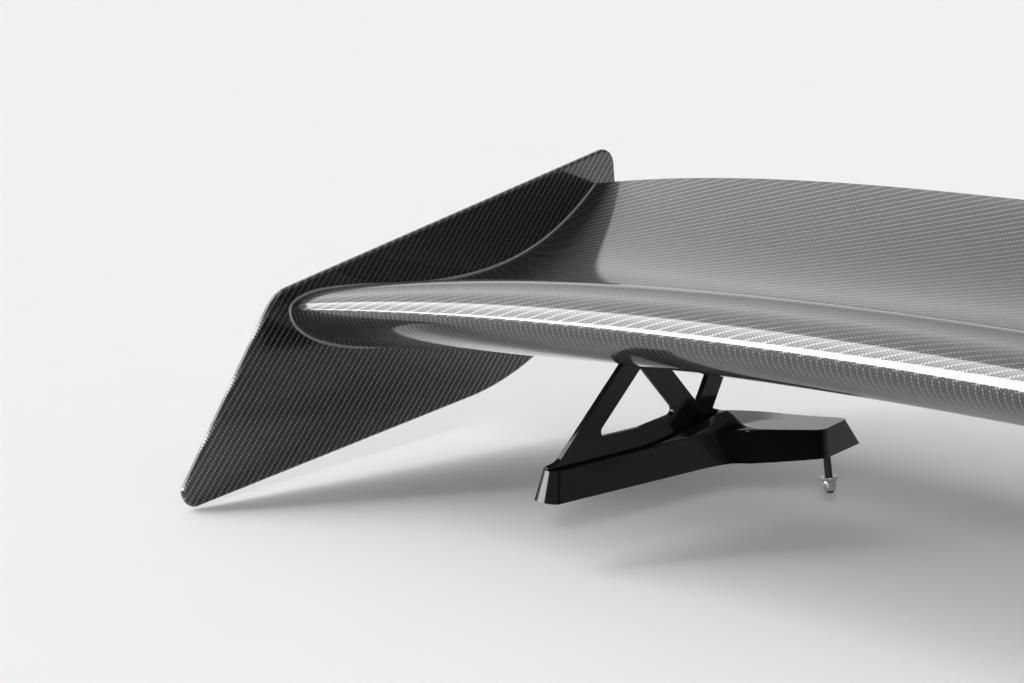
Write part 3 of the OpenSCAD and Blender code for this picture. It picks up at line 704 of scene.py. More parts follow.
@dataclass(frozen=True)
class BladeShape:
    """The blade's faces in millimetres; pairs run from the tips to the centre."""

    tip_x: float = 744.0
    nose_y: float = -14.0
    nose_h: float = 99.5
    arch_h: float = 49.0
    chord: float = 354.0
    hump: tuple[float, float] = (12.4, 25.6)
    hump_at: tuple[float, float] = (0.10, 0.15)
    valley: tuple[float, float] = (3.0, -16.0)
    valley_at: tuple[float, float] = (0.48, 0.49)
    belly: tuple[float, float] = (45.0, 48.5)
    belly_at: tuple[float, float] = (0.34, 0.49)
    rise: tuple[float, float] = (67.0, 55.5)
    tail_swell: float = 7.5
    fullness: float = 4.5
    edge_t: float = 2.4
    skin_t: float = 1.5
    upper_slope: float = 0.9
    lower_slope: float = 1.13

    def inboard(self, x: Length) -> Length:
        """0 at the tips and 1 at the centre."""
        return 1 - (x / self.tip_x) ** 2

    def filled(self, x: Length) -> Length:
        """As inboard, but flat over most of the span."""
        return 1 - np.abs(x / self.tip_x) ** self.fullness

    def nose_z(self, x: Length) -> Length:
        """Height of the nose."""
        return self.nose_h + self.arch_h * self.inboard(x)

    def tail_rise(self, x: Length) -> Length:
        """How far the trailing edge stands above the nose."""
        m = self.inboard(x)
        return blend(*self.rise, m) + self.tail_swell * 4 * m * (1 - m)

    def _to_tail(self, start: Length, end: Length, slope: float, at: Length, y: Length) -> Length:
        """The last stretch of a face, up to the trailing edge.

        Args:
            start: Height where it starts.
            end: Height at the trailing edge.
            slope: Its slope there.
            at: Distance behind the nose where it starts.
            y: Distance behind the nose.

        Returns:
            Height above the nose.
        """
        length = self.chord - at
        t = np.clip((y - at) / length, 0, 1)
        return blend(start, end, ease(t)) + slope * length * (t ** 3 - t ** 2)

    def upper(self, x: Length, y: Length) -> np.ndarray:
        """Height of the upper face above the nose.

        Args:
            x: Place across the car.
            y: Distance behind the nose.

        Returns:
            The height.
        """
        m = self.filled(x)
        hump, hump_y = blend(*self.hump, m), blend(*self.hump_at, m) * self.chord
        valley, valley_y = blend(*self.valley, m), blend(*self.valley_at, m) * self.chord
        round_nose = hump * np.sqrt(np.clip(1 - (1 - y / hump_y) ** 2, 0, 1))
        dip = blend(hump, valley, ease(np.clip((y - hump_y) / (valley_y - hump_y), 0, 1)))
        ramp = self._to_tail(valley, self.tail_rise(x), self.upper_slope, valley_y, y)
        return np.where(y < hump_y, round_nose, np.where(y < valley_y, dip, ramp))

    def lower(self, x: Length, y: Length) -> np.ndarray:
        """Height of the lower face above the nose.

        Args:
            x: Place across the car.
            y: Distance behind the nose.

        Returns:
            The height, mostly below 0.
        """
        m = self.filled(x)
        belly, belly_y = blend(*self.belly, m), blend(*self.belly_at, m) * self.chord
        round_nose = -belly * np.sqrt(np.clip(1 - (1 - y / belly_y) ** 2, 0, 1))
        ramp = self._to_tail(-belly, self.tail_rise(x) - self.edge_t, self.lower_slope, belly_y, y)
        return np.where(y < belly_y, round_nose, ramp)

    def face(self, which: Face, x: Length, y: Length) -> np.ndarray:
        """Height of either face above the nose."""
        return self.upper(x, y) if which is Face.UPPER else self.lower(x, y)

    def inner(self, which: Face, x: Length, y: Length, depth: float) -> tuple[np.ndarray, np.ndarray]:
        """Points under a face, never past the middle of the section.

        Args:
            which: The face.
            x: Place across the car.
            y: Distance behind the nose.
            depth: How far under the face.

        Returns:
            Distances behind the nose, and heights above it.
        """
        e = np.minimum(0.5, np.minimum(y / 2, (self.chord - y) / 2 + 0.01))
        a, b = np.maximum(y - e, 0), np.minimum(y + e, self.chord)
        slope = (self.face(which, x, b) - self.face(which, x, a)) / np.maximum(b - a, 1e-6)
        k = 1 / np.sqrt(1 + slope ** 2)
        room = (self.upper(x, y) - self.lower(x, y)) * 0.49 * k
        d = np.minimum(depth, room) * (1 if which is Face.UPPER else -1)
        return y + d * slope * k, self.face(which, x, y) - d * k


BLADE = BladeShape()


@dataclass
class BladeSkin:
    """One skin of the blade, from the nose to the trailing edge."""

    side: Face
    cloth_turn: float
    stations: int = 240
    steps: int = 96

    def build(self) -> list[bpy.types.Object]:
        """Lofts the skin from tip to tip and lays its cloth.

        Returns:
            The skin.
        """
        s, name = BLADE, self.side.value
        xs = np.linspace(-s.tip_x, s.tip_x, self.stations)[:, None]
        ys = s.chord * (1 - np.cos(np.linspace(0, np.pi / 2, self.steps + 1)))[None, :]
        outer = np.stack(np.broadcast_arrays(xs, ys, s.face(self.side, xs, ys)), -1)
        inner_y, inner_z = s.inner(self.side, xs, ys, s.skin_t)
        inner_y[:, 0], inner_z[:, 0] = s.skin_t, 0.0
        inner = np.stack([np.broadcast_to(xs, inner_y.shape), inner_y, inner_z], -1)
        rings = np.concatenate([outer, inner[:, ::-1]], 1)
        rings[..., 1] += s.nose_y
        rings[..., 2] += s.nose_z(rings[..., 0])
        arc = np.concatenate([np.zeros((self.stations, 1)),
                              np.cumsum(np.linalg.norm(np.diff(outer[..., 1:], axis=1), axis=-1), 1)], 1)
        arc = arc if self.side is Face.UPPER else -arc
        made = loft(f"blade_{name}_carbon", rings)
        uv = np.stack([rings[..., 0], np.concatenate([arc, arc[:, ::-1]], 1)], -1)
        map_uv(made, uv.reshape(-1, 2) * MM, self.cloth_turn)
        fill_ends(made)
        smooth(made, 40)
        return [finish_piece(made, BLADE_CARBON, "wing", f"blade_{name}_skin")]


@dataclass
class ResinBead:
    """The fillet of clear resin round the blade where it meets an end plate, coloured pale grey as a painted
    highlight along the joint.
    """

    size: float = 1.5
    sunk: tuple[float, float] = (0.05, 0.3)
    start: float = 0.02
    stop: float = 0.4
    steps: int = 160
    sides: int = 8

    def build(self) -> list[bpy.types.Object]:
        """Lofts the bead round the blade's section, for both tips.

        Returns:
            The right bead and the left one.
        """
        s = BLADE
        y = self.start + (s.chord - self.stop - self.start) * np.linspace(0, 1, self.steps + 1) ** 2
        x = -s.tip_x
        section = np.concatenate([np.column_stack([y, s.upper(x, y)])[::-1],
                                  np.column_stack([y, s.lower(x, y)])])
        ahead = np.roll(section, -1, 0) - np.roll(section, 1, 0)
        ahead[0], ahead[-1] = section[1] - section[0], section[-1] - section[-2]
        out = np.column_stack([ahead[:, 1], -ahead[:, 0]]) / np.linalg.norm(ahead, axis=1)[:, None]
        middle = section.mean(0)
        out *= np.sign(((section - middle) * out).sum(1).mean())
        turn = np.linspace(0, np.pi / 2, self.sides)
        rings = []
        for (py, pz), (oy, oz) in zip(section, out):
            arc = [(self.size * (1 - math.sin(a)), self.size * (1 - math.cos(a))) for a in turn]
            shape = arc + [(-self.sunk[0], -self.sunk[1]), (self.size, -self.sunk[1])]
            rings.append([(x + dx, py + oy * d + s.nose_y, pz + oz * d + s.nose_z(x)) for dx, d in shape])
        made = closed("right_resin_bead", np.array(rings))
        twin = mirrored(made, "left_resin_bead")
        for piece in (made, twin):
            outward(piece)
            smooth(piece, 50)
            finish_piece(piece, RESIN_WITH_PAINTED_HIGHLIGHT)
        return [made, twin]


# ---- End plates ------------------------------------------------------------


def rounded_corner(p: Point, q: Point, s: Point, r: float, n: int) -> list[np.ndarray]:
    """Rounds the corner at q, on the way from p to s.

    Args:
        p: The point before.
        q: The corner.
        s: The point after.
        r: The radius.
        n: Steps round it.

    Returns:
        n + 1 points.
    """
    p, q, s = (np.asarray(v, float) for v in (p, q, s))
    u, v = (p - q) / np.linalg.norm(p - q), (s - q) / np.linalg.norm(s - q)
    half = math.acos(float(np.clip(u @ v, -1, 1))) / 2
    mid = q + (u + v) / np.linalg.norm(u + v) * r / math.sin(half)
    a, b = q + u * r / math.tan(half), q + v * r / math.tan(half)
    a0 = math.atan2(*(a - mid)[::-1])
    sweep = (math.atan2(*(b - mid)[::-1]) - a0 + math.pi) % (2 * math.pi) - math.pi
    turns = [a0 + sweep * i / n for i in range(n + 1)]
    return [mid + r * np.array([math.cos(a), math.sin(a)]) for a in turns]


def bezier(p: Sequence[Point], n: int) -> list[np.ndarray]:
    """Points along a cubic curve.

    Args:
        p: Its four control points.
        n: Steps along it.

    Returns:
        n + 1 points.
    """
    a, b, c, d = (np.asarray(v, float) for v in p)
    ts = np.linspace(0, 1, n + 1)
    return [(1 - t) ** 3 * a + 3 * (1 - t) ** 2 * t * b + 3 * (1 - t) * t * t * c + t ** 3 * d for t in ts]


@dataclass
class EndPlate:
    """The plate that closes one tip of the blade, with rounded edges."""

    thickness: float = 6.0
    edge_r: float = 2.4
    ahead: float = 112.0
    behind: float = 26.0
    above: float = 30.0
    below: float = 147.0
    toe: tuple[float, float] = (8.0, 15.0)
    brow: tuple[float, float] = (14.0, 16.0)
    peak: tuple[float, float] = (2.0, 3.0)
    heel: tuple[float, float] = (0.57, 42.0)
    sweep_start: tuple[float, float] = (0.22, 12.0)
    sweep_end: tuple[float, float] = (6.0, 0.30)
    corner_r: tuple[float, ...] = (10.0, 12.0, 15.0, 34.0)
    cloth_turn: float = 5.0
    screw_share: tuple[float, ...] = (0.09, 0.37, 0.65)
    rib_depth: float = 1.75
    clearance_r: float = 2.65
    sink_r: float = 5.3
    sink_tip_r: float = 2.5
    sink_depth: float = 2.75

    def outline(self) -> list[np.ndarray]:
        """Side view of the plate.

        Returns:
            Points in Y and Z.
        """
        s = BLADE
        low_z, top_z = s.nose_h - self.below, s.nose_h + s.rise[0] + self.above
        tail = s.nose_y + s.chord + self.behind
        toe_y = s.nose_y - self.ahead
        toe, low = (toe_y, low_z + self.toe[1]), (toe_y + self.toe[0], low_z)
        brow = (s.nose_y - self.brow[0], s.nose_h + self.brow[1])
        peak = (tail - self.peak[0], top_z + self.peak[1])
        heel = (s.nose_y + s.chord * self.heel[0], low_z + self.heel[1])
        sweep = [heel, (heel[0] + s.chord * self.sweep_start[0], heel[1] + self.sweep_start[1]),
                 (tail - self.sweep_end[0], low_z + s.chord * self.sweep_end[1]),
                 (tail, s.nose_h + s.rise[0])]
        toe_r, low_r, peak_r, brow_r = self.corner_r
        return (rounded_corner(brow, toe, low, toe_r, 10) + rounded_corner(toe, low, heel, low_r, 10)
                + bezier(sweep, 48) + rounded_corner((tail, s.nose_h), peak, brow, peak_r, 16)
                + rounded_corner(peak, brow, toe, brow_r, 20))

    def build(self) -> list[bpy.types.Object]:
        """Extrudes, rounds and drills the plate, and mirrors it.

        Returns:
            The right plate and the left one.
        """
        made = prism("right_end_plate_carbon", self.outline(), -BLADE.tip_x, -self.thickness)
        edge = made.modifiers.new("edge", "BEVEL")
        edge.width, edge.segments, edge.angle_limit = self.edge_r * MM, 5, math.radians(60)
        apply_all(made)
        cut(made, self.sinks())
        outward(made)
        places = np.empty((len(made.data.vertices), 3), np.float32)
        made.data.vertices.foreach_get("co", places.ravel())
        map_uv(made, places[:, 1:], self.cloth_turn)
        smooth(made, 35)
        flat = made.modifiers.new("flat", "WEIGHTED_NORMAL")
        flat.keep_sharp = True
        other = mirrored(made, "left_end_plate_carbon")
        smooth(other, 35)
        return [finish_piece(made, CARBON, "wing", "right_end_plate"),
                finish_piece(other, CARBON, "wing", "left_end_plate")]

    def sinks(self) -> list[bpy.types.Object]:
        """Countersinks and clearance holes for the tip screws.

        Returns:
            Tools to cut with.
        """
        s, tools = BLADE, []
        x = -s.tip_x
        for share in self.screw_share:
            back = s.chord * share
            faces = [s.nose_z(x) + s.inner(which, np.array([x]), np.array([back]), self.rib_depth)[1][0]
                     for which in Face]
            y, z = s.nose_y + back, sum(faces) / 2
            depth = self.thickness - self.sink_depth
            for r1, r2, start, end in ((self.clearance_r, self.clearance_r, -1.0, self.thickness + 1),
                                       (self.sink_r, self.sink_tip_r, depth, self.thickness + 0.05)):
                bpy.ops.mesh.primitive_cone_add(
                    vertices=48, radius1=r1 * MM, radius2=r2 * MM, depth=(end - start) * MM,
                    location=((x - (start + end) / 2) * MM, y * MM, z * MM), rotation=(0, math.pi / 2, 0))
                tools.append(bpy.context.active_object)
                bpy.ops.object.transform_apply(location=True, rotation=True, scale=True)
        return tools


# ---- Uprights and feet -----------------------------------------------------


@dataclass(frozen=True)
class FootShape:
    """Sizes of the foot in millimetres, on the right side of the car."""

    upright_x: float = 448.5
    leg_l: float = 192.0
    toe_ahead: float = 14.5
    bend_r: float = 60.0
    arm_turn: float = 30.0
    arm_l: float = 80.0
    leg_half: float = 7.5
    arm_half: float = 22.0
    heel: float = 57.0
    arm_back: float = 27.0
    flares: tuple[float, float, float] = (7.5, 15.0, 12.0)
    height: float = 22.3
    wall: float = 3.0
    under_slope: float = 9.0
    over_slope: float = 4.2
    hinge: float = 36.0
    widen_lead: float = 26.0
    widen_lag: float = 8.0
    heel_lead: float = 24.0
    toe_flare: float = 1.5
    toe_flare_l: float = 45.0
    toe_slope_l: float = 25.0
    end_slope_l: float = 30.0
    toe_slope: float = 8.0
    end_slope: float = 7.0
    end_skew: float = 0.25
    toe_r: float = 6.0
    end_r: float = 7.0
    screw_x: float = -451.0
    saddle: tuple[float, float, float] = (83.0, 172.0, 15.0)
    saddle_power: float = 1.5
    saddle_fall: float = 20.0
    stud: tuple[float, float] = (58.5, 236.0)
    screw_y: tuple[float, ...] = (34.0, 80.0, 126.0)

    @property
    def straight(self) -> float:
        """Length of the leg's straight stretch."""
        return self.leg_l + self.toe_ahead - self.bend_r * math.tan(math.radians(90 - self.arm_turn) / 2)

    @property
    def bend(self) -> float:
        """Length of the bend along the middle line."""
        return self.bend_r * math.radians(90 - self.arm_turn)

    @property
    def length(self) -> float:
        """Length of the whole middle line."""
        return self.straight + self.bend + self.arm_l - (self.leg_l + self.toe_ahead - self.straight)

    def path(self, s: float) -> tuple[float, float, float]:
        """Follows the middle line.

        Args:
            s: Distance from the toe.

        Returns:
            X, Y and the heading in radians.
        """
        if s < self.straight:
            return -self.upright_x, s - self.toe_ahead, math.pi / 2
        if s < self.straight + self.bend:
            t = (s - self.straight) / self.bend_r
            return (-self.upright_x + self.bend_r * (1 - math.cos(t)),
                    self.straight - self.toe_ahead + self.bend_r * math.sin(t), math.pi / 2 - t)
        turn = math.radians(self.arm_turn)
        d = s - self.straight - self.bend + self.leg_l + self.toe_ahead - self.straight
        return -self.upright_x + d * math.cos(turn), self.leg_l + d * math.sin(turn), turn

    @staticmethod
    def ramp(s: float, a: float, b: float) -> float:
        """Share from 0 at a to 1 at b, eased."""
        return float(ease(np.clip((s - a) / (b - a), 0, 1)))

    def halves(self, s: float) -> tuple[float, float]:
        """Half widths of the top.

        Args:
            s: Distance from the toe.

        Returns:
            Those behind and ahead of the middle line.
        """
        mid = self.straight + self.bend / 2
        widening = self.ramp(s, self.straight - self.widen_lead, self.straight + self.bend + self.widen_lag)
        front = blend(self.leg_half, self.arm_half, widening)
        if s < mid:
            swell = self.ramp(s, self.straight - self.heel_lead, mid)
            return blend(self.leg_half, self.heel, swell), front
        return blend(self.heel, self.arm_back, (s - mid) / (self.length - mid)), front

    def spreads(self, s: float) -> tuple[float, float]:
        """How far the walls flare out below the top.

        Args:
            s: Distance from the toe.

        Returns:
            The flare behind and that ahead.
        """
        leg, bend, arm = self.flares
        mid = self.straight + self.bend / 2
        front = blend(leg, bend, s / mid) if s < mid else blend(bend, arm, (s - mid) / (self.length - mid))
        if s < self.straight:
            return blend(self.toe_flare, leg, self.ramp(s, 0, self.toe_flare_l)), front
        return blend(leg, arm, self.ramp(s, self.straight, self.straight + self.bend)), front

    def under(self, x: float) -> float:
        """Height of the foot's underside."""
        return max(0.0, x + self.upright_x - self.hinge) * math.tan(math.radians(self.under_slope))

    def over(self, x: float) -> float:
        """Height of the foot's top, without its saddle."""
        rise = math.tan(math.radians(self.over_slope))
        return self.height + max(0.0, x + self.upright_x - self.leg_half) * rise

    def ridge(self, y: Length) -> np.ndarray:
        """Height of the saddle that carries the upright, over the foot's top.

        Args:
            y: Place along the car.

        Returns:
            The height.
        """
        start, end, h = self.saddle
        rising = h * np.clip((np.asarray(y, float) - start) / (end - start), 0, 1) ** self.saddle_power
        return np.where(y < end, rising, h * (1 - ease(np.clip((y - end) / self.saddle_fall, 0, 1))))

    def point(self, s: float, v: float, up: float, share: float = 0.0,
              drop: float = 0.0) -> tuple[float, float, float]:
        """A point of the foot's wall.

        Args:
            s: Distance from the toe.
            v: Distance ahead of the middle line, negative behind it.
            up: 0 at the underside and 1 at the top.
            share: Share of the saddle's height.
            drop: How far the point is let down.

        Returns:
            X, Y and Z.
        """
        end = self.ramp(s, self.length - self.end_slope_l, self.length)
        spread = self.end_slope * end - self.toe_slope * (1 - self.ramp(s, 0, self.toe_slope_l))
        x, y, a = self.path(s)
        push = spread * (1 - up) - v * self.end_skew * end
        x, y = x + v * math.sin(a) + push * math.cos(a), y - v * math.cos(a) + push * math.sin(a)
        return x, y, blend(self.under(x), self.over(x), up) + share * float(self.ridge(y)) - drop


FOOT = FootShape()


def cylinder(r: float, at: Point, start: float, end: float, lean: float = 0.0) -> bpy.types.Object:
    """Adds a closed round bar in millimetres, as a tool or a boss.

    Args:
        r: Its radius.
        at: A point on its axis.
        start: Where it starts along its axis, from at.
        end: Where it ends.
        lean: How far its axis leans from Z towards +X, in degrees.

    Returns:
        The bar, at the origin, with its place in its mesh.
    """
    turn = math.radians(lean)
    centre = Vector(at) + Vector((math.sin(turn), 0, math.cos(turn))) * (start + end) / 2
    bpy.ops.mesh.primitive_cone_add(vertices=48, radius1=r * MM, radius2=r * MM, depth=(end - start) * MM,
                                    location=centre * MM, rotation=(0, turn, 0))
    made = bpy.context.active_object
    bpy.ops.object.transform_apply(location=True, rotation=True, scale=True)
    return made


def bevelled(obj: bpy.types.Object, width: float) -> bpy.types.Object:
    """Rounds the sharp edges of a solid.

    Args:
        obj: The solid.
        width: Width of the rounding in millimetres.

    Returns:
        The solid.
    """
    edge = obj.modifiers.new("edge", "BEVEL")
    edge.width, edge.segments, edge.angle_limit = width * MM, 3, math.radians(35)
    edge.limit_method = "ANGLE"
    apply_all(obj)
    return obj


def prism(name: str, outline: np.ndarray, x: float, thickness: float) -> bpy.types.Object:
    """Gives a flat outline a thickness.

    Args:
        name: The new object's name.
        outline: Points in Y and Z.
        x: Where the outline lies.
        thickness: How thick, towards +X, or towards -X where negative.

    Returns:
        The solid.
    """
    outline = np.asarray(outline)
    front = np.column_stack([np.full(len(outline), x), outline])
    made = mesh_object(name, front, [list(range(len(front)))])
    only(made)
    bpy.ops.object.mode_set(mode="EDIT")
    bpy.ops.mesh.select_all(action="SELECT")
    bpy.ops.mesh.extrude_region_move(TRANSFORM_OT_translate={"value": (thickness * MM, 0, 0)})
    bpy.ops.mesh.select_all(action="SELECT")
    bpy.ops.mesh.normals_make_consistent(inside=False)
    bpy.ops.object.mode_set(mode="OBJECT")
    return made


def pair(obj: bpy.types.Object, other: str, finish: Finish,
         nodes: tuple[str, str]) -> list[bpy.types.Object]:
    """Finishes a piece of the right side and its mirror image.

    Args:
        obj: The right side's piece.
        other: The left one's name.
        finish: What they are made of.
        nodes: The CAD nodes that they replace, right and left.

    Returns:
        The right piece and the left one.
    """
    outward(obj)
    smooth(obj, 32)
    twin = mirrored(obj, other)
    smooth(twin, 32)
    for piece, node in zip((obj, twin), nodes):
        flat = piece.modifiers.new("flat", "WEIGHTED_NORMAL")
        flat.keep_sharp = True
        finish_piece(piece, finish, "wing", node)
    return [obj, twin]


@dataclass
class Foot:
    """The hollow boomerang foot with its saddle, bosses and screw holes."""

    steps: int = 110
    ridge_steps: int = 6
    soft: float = 1.4
    ridge_reach: float = 14.0
    ridge_power: float = 2.4
    toe_taper: float = 0.85
    toe_boss_r: float = 7.0
    stud_boss_r: float = 8.0
    boss_top: tuple[float, float] = (20.8, 19.6)
    insert_r: float = 4.85
    insert_l: float = 14.0
    screw_boss_r: float = 5.6
    screw_boss_h: float = 9.0
    screw_hole_r: float = 2.65
    screw_head_r: float = 4.7

    def side(self, half: float, spread: float) -> list[tuple[float, float, float]]:
        """Half a section of the foot, from its bottom to the crest.

        Args:
            half: Half width of the top.
            spread: Flare of the wall.

        Returns:
            Distance, height share and saddle share of each point.
        """
        crest = min(FOOT.leg_half, half) - self.soft
        reach = float(np.clip(half - 1.0 - crest, 0.6, self.ridge_reach))
        start = max(crest + reach, half - self.soft)
        low = 1 - self.soft / FOOT.height
        turn = np.linspace(0, np.pi / 2, 5)
        edge = [(start + (half - start) * math.cos(t), blend(low, 1.0, math.sin(t)), 0.0) for t in turn]
        k = np.linspace(1, 0, self.ridge_steps + 1)
        slope = [(crest + reach * t, 1.0, (1 - t) ** self.ridge_power) for t in k]
        return [(half + spread, 0.0, 0.0)] + edge + slope

    def ring(self, s: float) -> list[tuple[float, float, float]]:
        """The foot's outside at a station, drawn in at both ends.

        Args:
            s: Distance from the toe.

        Returns:
            Points in X, Y and Z.
        """
        toe, tail = (r - math.sqrt(max(r * r - (r - d) ** 2, 0)) if d < r else 0.0
                     for d, r in ((s, FOOT.toe_r), (FOOT.length - s, FOOT.end_r)))
        cut_off = toe + tail
        back, front = (h - cut_off for h in FOOT.halves(s))
        behind, ahead = (w * (1 - self.toe_taper * toe / FOOT.toe_r) for w in FOOT.spreads(s))
        left = [FOOT.point(s, -v, up, share) for v, up, share in self.side(back, behind)]
        right = [FOOT.point(s, v, up, share) for v, up, share in self.side(front, ahead)]
        return left + right[::-1]

    def hollow(self, s: float) -> list[tuple[float, float, float]]:
        """The foot's inside at a station.

        Args:
            s: Distance from the toe.

        Returns:
            Four points in X, Y and Z.
        """
        back, front = (h - FOOT.wall for h in FOOT.halves(s))
        behind, ahead = FOOT.spreads(s)
        lid = 1 - FOOT.wall / FOOT.height
        return [FOOT.point(s, -back - behind, 0, drop=1), FOOT.point(s, -back, lid),
                FOOT.point(s, front, lid), FOOT.point(s, front + ahead, 0, drop=1)]

    def build(self) -> list[bpy.types.Object]:
        """Lofts and hollows the foot, adds its bosses and drills it.

        Returns:
            The right foot and the left one.
        """
        ends = [FOOT.toe_r * (1 - math.cos(t)) for t in np.linspace(0, np.pi / 2, 9)[:-1]]
        middle = np.linspace(FOOT.toe_r, FOOT.length - FOOT.end_r, self.steps)
        tail = [FOOT.length - FOOT.end_r * d / FOOT.toe_r for d in ends[::-1]]
        made = closed("right_foot_shell", [self.ring(s) for s in ends + list(middle) + tail])
        inside = np.linspace(FOOT.wall + 3, FOOT.length - FOOT.wall, 60)
        cut(made, [closed("hollow", [self.hollow(s) for s in inside])])
        stud_x = -FOOT.upright_x + FOOT.stud[0]
        stud, toe = (stud_x, FOOT.stud[1], FOOT.under(stud_x)), (-FOOT.upright_x, 0, 0)
        lean, low = -FOOT.under_slope, -self.screw_boss_h
        screws = [(FOOT.screw_x, y, FOOT.height + float(FOOT.ridge(y))) for y in FOOT.screw_y]
        cut(made, [cylinder(self.toe_boss_r, toe, 0, self.boss_top[0]),
                   cylinder(self.stud_boss_r, stud, 0, self.boss_top[1], lean)]
            + [cylinder(self.screw_boss_r, at, low, -FOOT.wall / 2) for at in screws], "UNION")
        cut(made, [cylinder(self.insert_r, toe, -1, self.insert_l),
                   cylinder(self.insert_r, stud, -10, self.insert_l, lean)]
            + [cylinder(self.screw_hole_r, at, -22, 2) for at in screws]
            + [cylinder(self.screw_head_r, at, low - 22, low) for at in screws])
        return pair(made, "left_foot_shell", GLOSS_BLACK, ("right_foot", "left_foot"))


@dataclass
class Upright:
    """The truss plate with its two windows, the rail on the foot and the flange under the blade."""

    thickness: float = 5.0
    rail_t: float = 10.0
    struts: tuple[tuple[float, float], ...] = ((43.5, 0.815), (46.0, 0.88), (62.0, 0.84))
    strut_w: float = 22.0
    feet: tuple[tuple[float, float], ...] = ((1.8, 32.3), (119.0, 48.3), (167.0, 43.3))
    gap: float = 0.05
    toe_y: float = -16.0
    toe_t: float = 2.5
    root_back: float = 8.0
    root_r: float = 14.0
    tail_past: float = 4.0
    flange: tuple[float, float, float, float] = (-475.0, -445.0, 82.8, 216.0)
    flange_t: float = 3.5
    rail_h: float = 16.0
    bolt_rail_h: float = 12.0
    window_r: float = 4.0
    knee_r: float = 30.0
    apex_r: float = 1.5
    vee_r: float = 2.4
    vee_reach: float = 99.5
    sweep: tuple[float, float, float] = (9.0, 95.0, 11.0)
    edge_r: float = 0.7
    rail_edge_r: float = 0.8
    flange_edge_r: float = 0.5
    screw_x: float = -463.0
    screw_y: tuple[float, ...] = (92.2, 148.84, 205.48)
    screw_hole_r: float = 3.15
    spot_r: float = 5.6
    spot_depth: float = 0.9
    foot_screw_r: float = 2.1
    steps: int = 24

    def below_blade(self, x: float, y: Length) -> np.ndarray:
        """Height of the blade's lower face at a place, less the seat gap."""
        return BLADE.nose_z(x) + BLADE.lower(x, np.asarray(y, float) - BLADE.nose_y) - self.gap

    def top(self, y: Length) -> np.ndarray:
        """Height of the upright's top edge."""
        return self.below_blade(-FOOT.upright_x - self.thickness / 2, y)

    def on_foot(self, y: Length) -> np.ndarray:
        """Height of the upright's sole, a gap above the foot."""
        return FOOT.height + FOOT.ridge(y) + self.gap

    @staticmethod
    def heading(degrees: float) -> np.ndarray:
        """Direction in Y and Z at an angle from level."""
        return np.array([math.cos(math.radians(degrees)), math.sin(math.radians(degrees))])

    @staticmethod
    def crossing(p: Point, u: Point, q: Point, v: Point) -> np.ndarray:
        """Where the line from p along u crosses the line from q along v."""
        a, _ = np.linalg.solve(np.array([u, -np.asarray(v)]).T, np.asarray(q, float) - np.asarray(p, float))
        return np.asarray(p, float) + a * np.asarray(u)

    def meet(self, foot: tuple[float, float], lean: float) -> np.ndarray:
        """Where the outer edge of a strut reaches the blade.

        Args:
            foot: Where that edge starts.
            lean: Its angle from level.

        Returns:
            The point in Y and Z.
        """
        y = foot[0]
        for _ in range(6):
            y = foot[0] + (float(self.top(y)) - foot[1]) / math.tan(math.radians(lean))
        return np.array([y, float(self.top(y))])

    def outline(self) -> np.ndarray:
        """Side view of the plate, without its windows.

        Returns:
            Points in Y and Z.
        """
        (front_lean, _), _, (rear_lean, _) = self.struts
        front, _, rear = (np.array(f) for f in self.feet)
        a, b = self.meet(self.feet[0], front_lean), self.meet(self.feet[2], rear_lean)
        start, end, _ = FOOT.saddle
        sole_y = np.linspace(end, start, self.steps)
        bottom = [np.array([y, float(self.on_foot(min(y, end - 0.01)))]) for y in sole_y]
        sole = np.array([self.toe_y, FOOT.height + self.gap])
        toe = np.array([self.toe_y, FOOT.height + self.toe_t])
        root = front - self.heading(front_lean) * self.root_back
        top = [np.array([y, float(self.top(y))]) for y in np.linspace(a[0], b[0], self.steps)]
        return np.array(bottom + [sole, toe] + rounded_corner(toe, root, a, self.root_r, 10) + top
                        + [rear - self.heading(rear_lean) * self.tail_past])

    def edge(self, strut: int, side: float) -> np.ndarray:
        """A point on the far edge of a strut.

        Args:
            strut: Its number from the front.
            side: 1 where that edge lies above the first one, -1 where it lies below.

        Returns:
            The point in Y and Z.
        """
        lean, share = self.struts[strut]
        turn = math.radians(lean)
        across = np.array([math.sin(turn), side * math.cos(turn)])
        return np.array(self.feet[strut]) + share * self.strut_w * across

    def triangle(self) -> np.ndarray:
        """The window between the front and middle struts and the rail.

        Returns:
            Its outline in Y and Z.
        """
        mid = np.array(self.feet[1])
        inner, up, down = self.edge(0, -1), self.heading(self.struts[0][0]), self.heading(-self.struts[1][0])
        level = FOOT.height + self.rail_h
        rail_b = np.array([FOOT.saddle[0], level])
        rail_c = np.array([mid[0] + 6, float(self.on_foot(mid[0] + 6)) + self.rail_h])
        low_front = self.crossing(inner, up, rail_b, (1, 0))
        low_rear = self.crossing(mid, down, rail_b, rail_c - rail_b)
        apex = self.crossing(inner, up, mid, down)
        corners = [(low_front, self.window_r), (rail_b, self.knee_r),
                   (low_rear, self.window_r), (apex, self.apex_r)]
        outline = []
        for k, (corner, r) in enumerate(corners):
            outline += rounded_corner(corners[k - 1][0], corner, corners[(k + 1) % 4][0], r, 8)
        return np.array(outline)

    def vee(self) -> np.ndarray:
        """The window between the middle and rear struts, open at the top.

        Returns:
            Its outline in Y and Z.
        """
        down, up = self.heading(-self.struts[1][0]), self.heading(self.struts[2][0])
        lean, share = self.struts[2]
        turn = math.radians(lean)
        behind = np.array(self.feet[2]) - share * self.strut_w * np.array([math.sin(turn), -math.cos(turn)])
        vertex = self.crossing(self.edge(1, 1), down, behind, up)
        a, b = vertex + up * self.vee_reach, vertex - down * self.vee_reach
        return np.array(rounded_corner(b, vertex, a, self.vee_r, 8) + [a, b])

